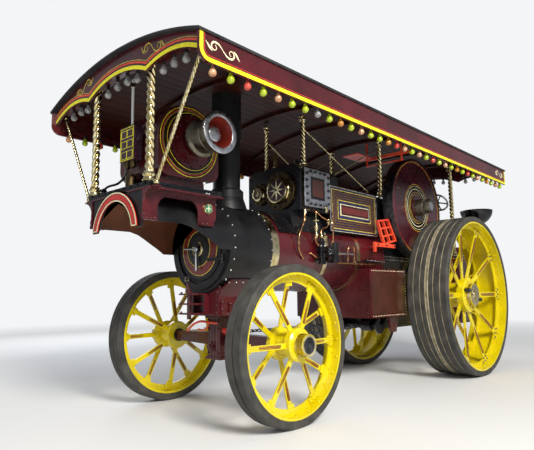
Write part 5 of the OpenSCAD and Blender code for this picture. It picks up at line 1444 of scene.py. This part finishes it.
GUARD_Y = -0.535
LOW_DISC, MIDDLE_DISC, TOP_DISC = (0.0, AT_REAR[2], 0.43), (0.26, 1.72, 0.3), (CRANK_X, CRANK_Z, 0.23)
guard_line, guard_dots = [], []
for discs, bottom, top in (((LOW_DISC, MIDDLE_DISC), 0, 1.56), ((MIDDLE_DISC, TOP_DISC), 1.9, 3)):
    for inset, into in ((0.05, guard_line), (0.024, guard_dots)):
        outline = hull_outline(discs, inset)
        into.append(outline[(outline[:, 2] > bottom) & (outline[:, 2] < top)])
put("gear_guard_bolts", studs(np.vstack([p[::3] for p in guard_dots]), -Y, 0.01, 0.009), dark_steel)
put("gear_guard_gold_line", together(*[stroke(opened(p), -Y, 0.009) for p in guard_line]), gold_line)

# %% [markdown]
# The tender's sheets are lined like a coach: a gold and a red line follow the edge, and rivets show along
# the joints of the plates. A brass bead runs along its top.

# %% Tender lining and rivets
TENDER_Y, TENDER_BACK = 0.56, -1.7
TENDER_RIVET = (0.0075, 0.006)
GOLD_EDGE = [(-0.26, 0.99), (-0.49, 0.95), (-1.66, 0.95), (-1.66, 1.75), (-1.44, 1.75), (-1.17, 1.65),
             (-0.91, 1.59), (-0.26, 1.59)]
RED_EDGE = [(-0.29, 1.01), (-0.5, 0.972), (-1.638, 0.972), (-1.638, 1.728), (-1.445, 1.728), (-1.175, 1.628),
            (-0.915, 1.568), (-0.29, 1.568)]
for name, paint, side_edge, inset, width in (("gold_line", gold_line, GOLD_EDGE, 0.06, 0.011),
                                             ("red_line", red_line, RED_EDGE, 0.082, 0.006)):
    put(f"tender_{name}", both(stroke([(x, TENDER_Y, z) for x, z in side_edge], Y, width, ring=True)), paint)
    y0, y1, z0, z1 = shrunk((-0.545, 0.545, 0.97, 1.8), inset)
    put(f"tender_back_{name}", facing_frame(TENDER_BACK, y0, y1, z0, z1, width), paint)
SIDE_ROWS = [(30, (-0.46, 0.925), (-1.68, 0.925)), (18, (-1.682, 0.96), (-1.682, 1.76)),
             (30, (-0.47, 0.64), (-1.7, 0.64)), (14, (-0.232, 0.98), (-0.232, 1.61))]
side_rivets = np.vstack([rows(n, ((xa, TENDER_Y, za), (xb, TENDER_Y, zb)))
                         for n, (xa, za), (xb, zb) in SIDE_ROWS])
back_rows = [(TENDER_BACK, 0.99), (TENDER_BACK, 1.785), (-1.72, 0.645), (-1.72, 0.935)]
back_rivets = rows(22, *[((x, -0.53, z), (x, 0.53, z)) for x, z in back_rows])
put("tender_rivets", both(rivets(side_rivets, Y, *TENDER_RIVET)), maroon)
put("tender_back_rivets", rivets(back_rivets, -X, *TENDER_RIVET), maroon)
BEAD_EDGE = [(-0.21, 1.64), (-0.9, 1.64), (-1.15, 1.7), (-1.42, 1.8), (TENDER_BACK, 1.8)]
put("tender_brass_bead", both(wire([(x, 0.5525, z) for x, z in BEAD_EDGE], 0.011, 10)), brass)
put("drawbar_bolts", studs(grid((-1.719,), (-0.11, 0.11), (0.66, 0.84)), -X, 0.012, 0.01), satin_black)

# %% [markdown]
# The seat is an iron pan on a post, and its rim is rolled over a wire. The steering wheel has a
# polished rim and a brass knob, and the hand levers have brass grips.

# %% Seat, hand wheel and levers
put("seat_rolled_rim", hoop((-1.5, 0.6, 2.405), Z, 0.247, 0.0055, 8, 60), satin_black)
WHEEL_AT, WHEEL_R = np.array([-0.47, 0.415, 2.45]), 0.15
down = np.array([1.24, 0.395, 0.7]) - WHEEL_AT
put("steering_wheel_rim", hoop(WHEEL_AT, down, WHEEL_R, 0.0142, 10, 48), steel)
WHEEL_KNOB = [(0.008, 0), (0.008, 0.02), (0.015, 0.028), (0.018, 0.06), (0.012, 0.085), (0.004, 0.088)]
put("steering_wheel_knob", turned(WHEEL_KNOB, WHEEL_AT + WHEEL_R * across(down)[1], -down, 18), brass)
GRIP = [(0.013, -0.1), (0.017, -0.09), (0.019, -0.04), (0.017, -0.005), (0.01, 0.008)]
lever_ends = [((-0.14, -0.3, 2.05), (-0.08, 0, 0.55)), ((-0.18, 0.15, 1.98), (-0.24, 0, 0.08)),
              ((-0.7, -0.38, 1.7), Z)]
put("lever_grips", together(*[turned(GRIP, at, way, 18) for at, way in lever_ends]), brass)

# %% [markdown]
# The orange-red bracket beside the firebox is bolted and riveted. Two bands of dark steel run round the
# steering shaft's worm wheel, and oil cups stand on the bearings and crossheads.

# %% Small bolts, bands and oil cups
put("red_bracket_bolts", studs(grid((1.11, 1.3, 1.5), (0.528,), (1.678,)), Y, 0.011, 0.01), satin_black)
BRACKET_SPOTS = [(1.475, 1.96), (1.235, 1.998), (1.055, 1.765), (1.335, 1.705), (1.265, 1.73), (1.35, 1.98)]
put("red_bracket_rivets", rivets([(x, 0.531, z) for x, z in BRACKET_SPOTS], Y, 0.007, 0.006), scarlet)
BAND = [(0.0955, 0), (0.103, 0.002), (0.103, 0.012), (0.0955, 0.014)]
drum_bands = [turned(BAND, (1.265, y, 0.69), Y, 40, hollow=True) for y in (0.354, 0.363)]
put("worm_wheel_bands", together(*drum_bands), dark_steel)
pins = [turned([(0.016, 0), (0.016, 0.008), (0.01, 0.012)], (1.5, s * 0.219, 2.236), s * Y, 14)
        for s in (1, -1)]
put("crosshead_pins", together(*pins), dark_steel)
CUP = [(0.012, 0), (0.018, 0.006), (0.018, 0.026), (0.012, 0.034), (0.004, 0.04)]
cup_spots = np.vstack([grid((1.5,), (0.185, -0.185), (2.292,)),
                       grid((CRANK_X,), (0.36, -0.36), (CRANK_Z + 0.094,))])
put("oil_cups", copies(CUP, cup_spots, Z, 16), brass)

# %% [markdown]
# A plain pale floor and a plain light world, with a large soft key light from the machine's left front,
# a weaker one from the right, and a faint one low ahead. The background is white only for the camera and
# through glass: in reflections it is a mid grey, so dark paint stays dark.


# %% Floor, lights and background
def flat_floor(size=60.0, fade_from=6.0, fade_to=15.0):
    """Matt floor. For the camera alone it runs out into the background's white, between two distances."""
    half = size / 2
    data = bpy.data.meshes.new("floor")
    data.from_pydata([(-half, -half, 0), (half, -half, 0), (half, half, 0), (-half, half, 0)], [],
                     [(0, 1, 2, 3)])
    material = bpy.data.materials.new("pale studio floor")
    material.use_nodes = True
    tree = material.node_tree
    shader = tree.nodes["Principled BSDF"]
    shader.inputs["Base Color"].default_value = linear("#ECECEA")
    shader.inputs["Roughness"].default_value = 0.9
    place = add(tree, "ShaderNodeTexCoord").outputs["Object"]
    distance = add(tree, "ShaderNodeVectorMath", links={0: place}, operation="LENGTH").outputs["Value"]
    away = add(tree, "ShaderNodeMapRange", {"From Min": fade_from, "From Max": fade_to},
               {"Value": distance}).outputs[0]
    camera_ray = add(tree, "ShaderNodeLightPath").outputs["Is Camera Ray"]
    seen = add(tree, "ShaderNodeMath", links={0: away, 1: camera_ray}, operation="MULTIPLY")
    white_out = add(tree, "ShaderNodeEmission", {"Color": linear("#F4F5F7"), "Strength": 1.0})
    mixed = add(tree, "ShaderNodeMixShader",
                links={0: seen.outputs[0], 1: shader.outputs[0], 2: white_out.outputs[0]})
    tree.links.new(mixed.outputs[0], tree.nodes["Material Output"].inputs["Surface"])
    data.materials.append(material)
    floor = bpy.data.objects.new("floor", data)
    bpy.context.scene.collection.objects.link(floor)


def soft_light(name, place, aim, size, power, tint):
    """A square area light at a place, turned towards a point."""
    data = bpy.data.lights.new(name, "AREA")
    data.size, data.energy, data.color = size, power, tint
    place, aim = np.array(place, float), np.array(aim, float)
    back, side, _ = across(place - aim)
    placed(name, data, side, np.cross(back, side), back, place)


def pale_world(lit=0.42):
    """Lights the object at one level, and shows white to the camera and through glass."""
    world = bpy.data.worlds.new("studio")
    bpy.context.scene.world = world
    world.use_nodes = True
    tree = world.node_tree
    tree.nodes.clear()
    rays = add(tree, "ShaderNodeLightPath").outputs
    both_kinds = {0: rays["Is Camera Ray"], 1: rays["Is Transmission Ray"]}
    seen = add(tree, "ShaderNodeMath", links=both_kinds, operation="MAXIMUM")
    light = add(tree, "ShaderNodeBackground", {"Color": linear("#E4E8F0"), "Strength": lit})
    shown = add(tree, "ShaderNodeBackground", {"Color": linear("#F4F5F7"), "Strength": 1.0})
    mixed = add(tree, "ShaderNodeMixShader",
                links={0: seen.outputs[0], 1: light.outputs[0], 2: shown.outputs[0]})
    add(tree, "ShaderNodeOutputWorld", links={"Surface": mixed.outputs[0]})


flat_floor()
soft_light("key", (5.5, 11.0, 9.0), (0.3, 0, 1.5), 4.0, 2300, (1.0, 0.97, 0.92))
soft_light("fill", (-1.0, -9.0, 5.0), (0.5, 0, 1.5), 6.0, 320, (0.92, 0.95, 1.0))
soft_light("low_front", (9.0, 3.0, 1.0), (0.5, 0, 1.6), 4.0, 50, (1.0, 1.0, 1.0))
pale_world()
bpy.context.scene.view_settings.view_transform = "Standard"
print("stage set: floor, three lights and the world")
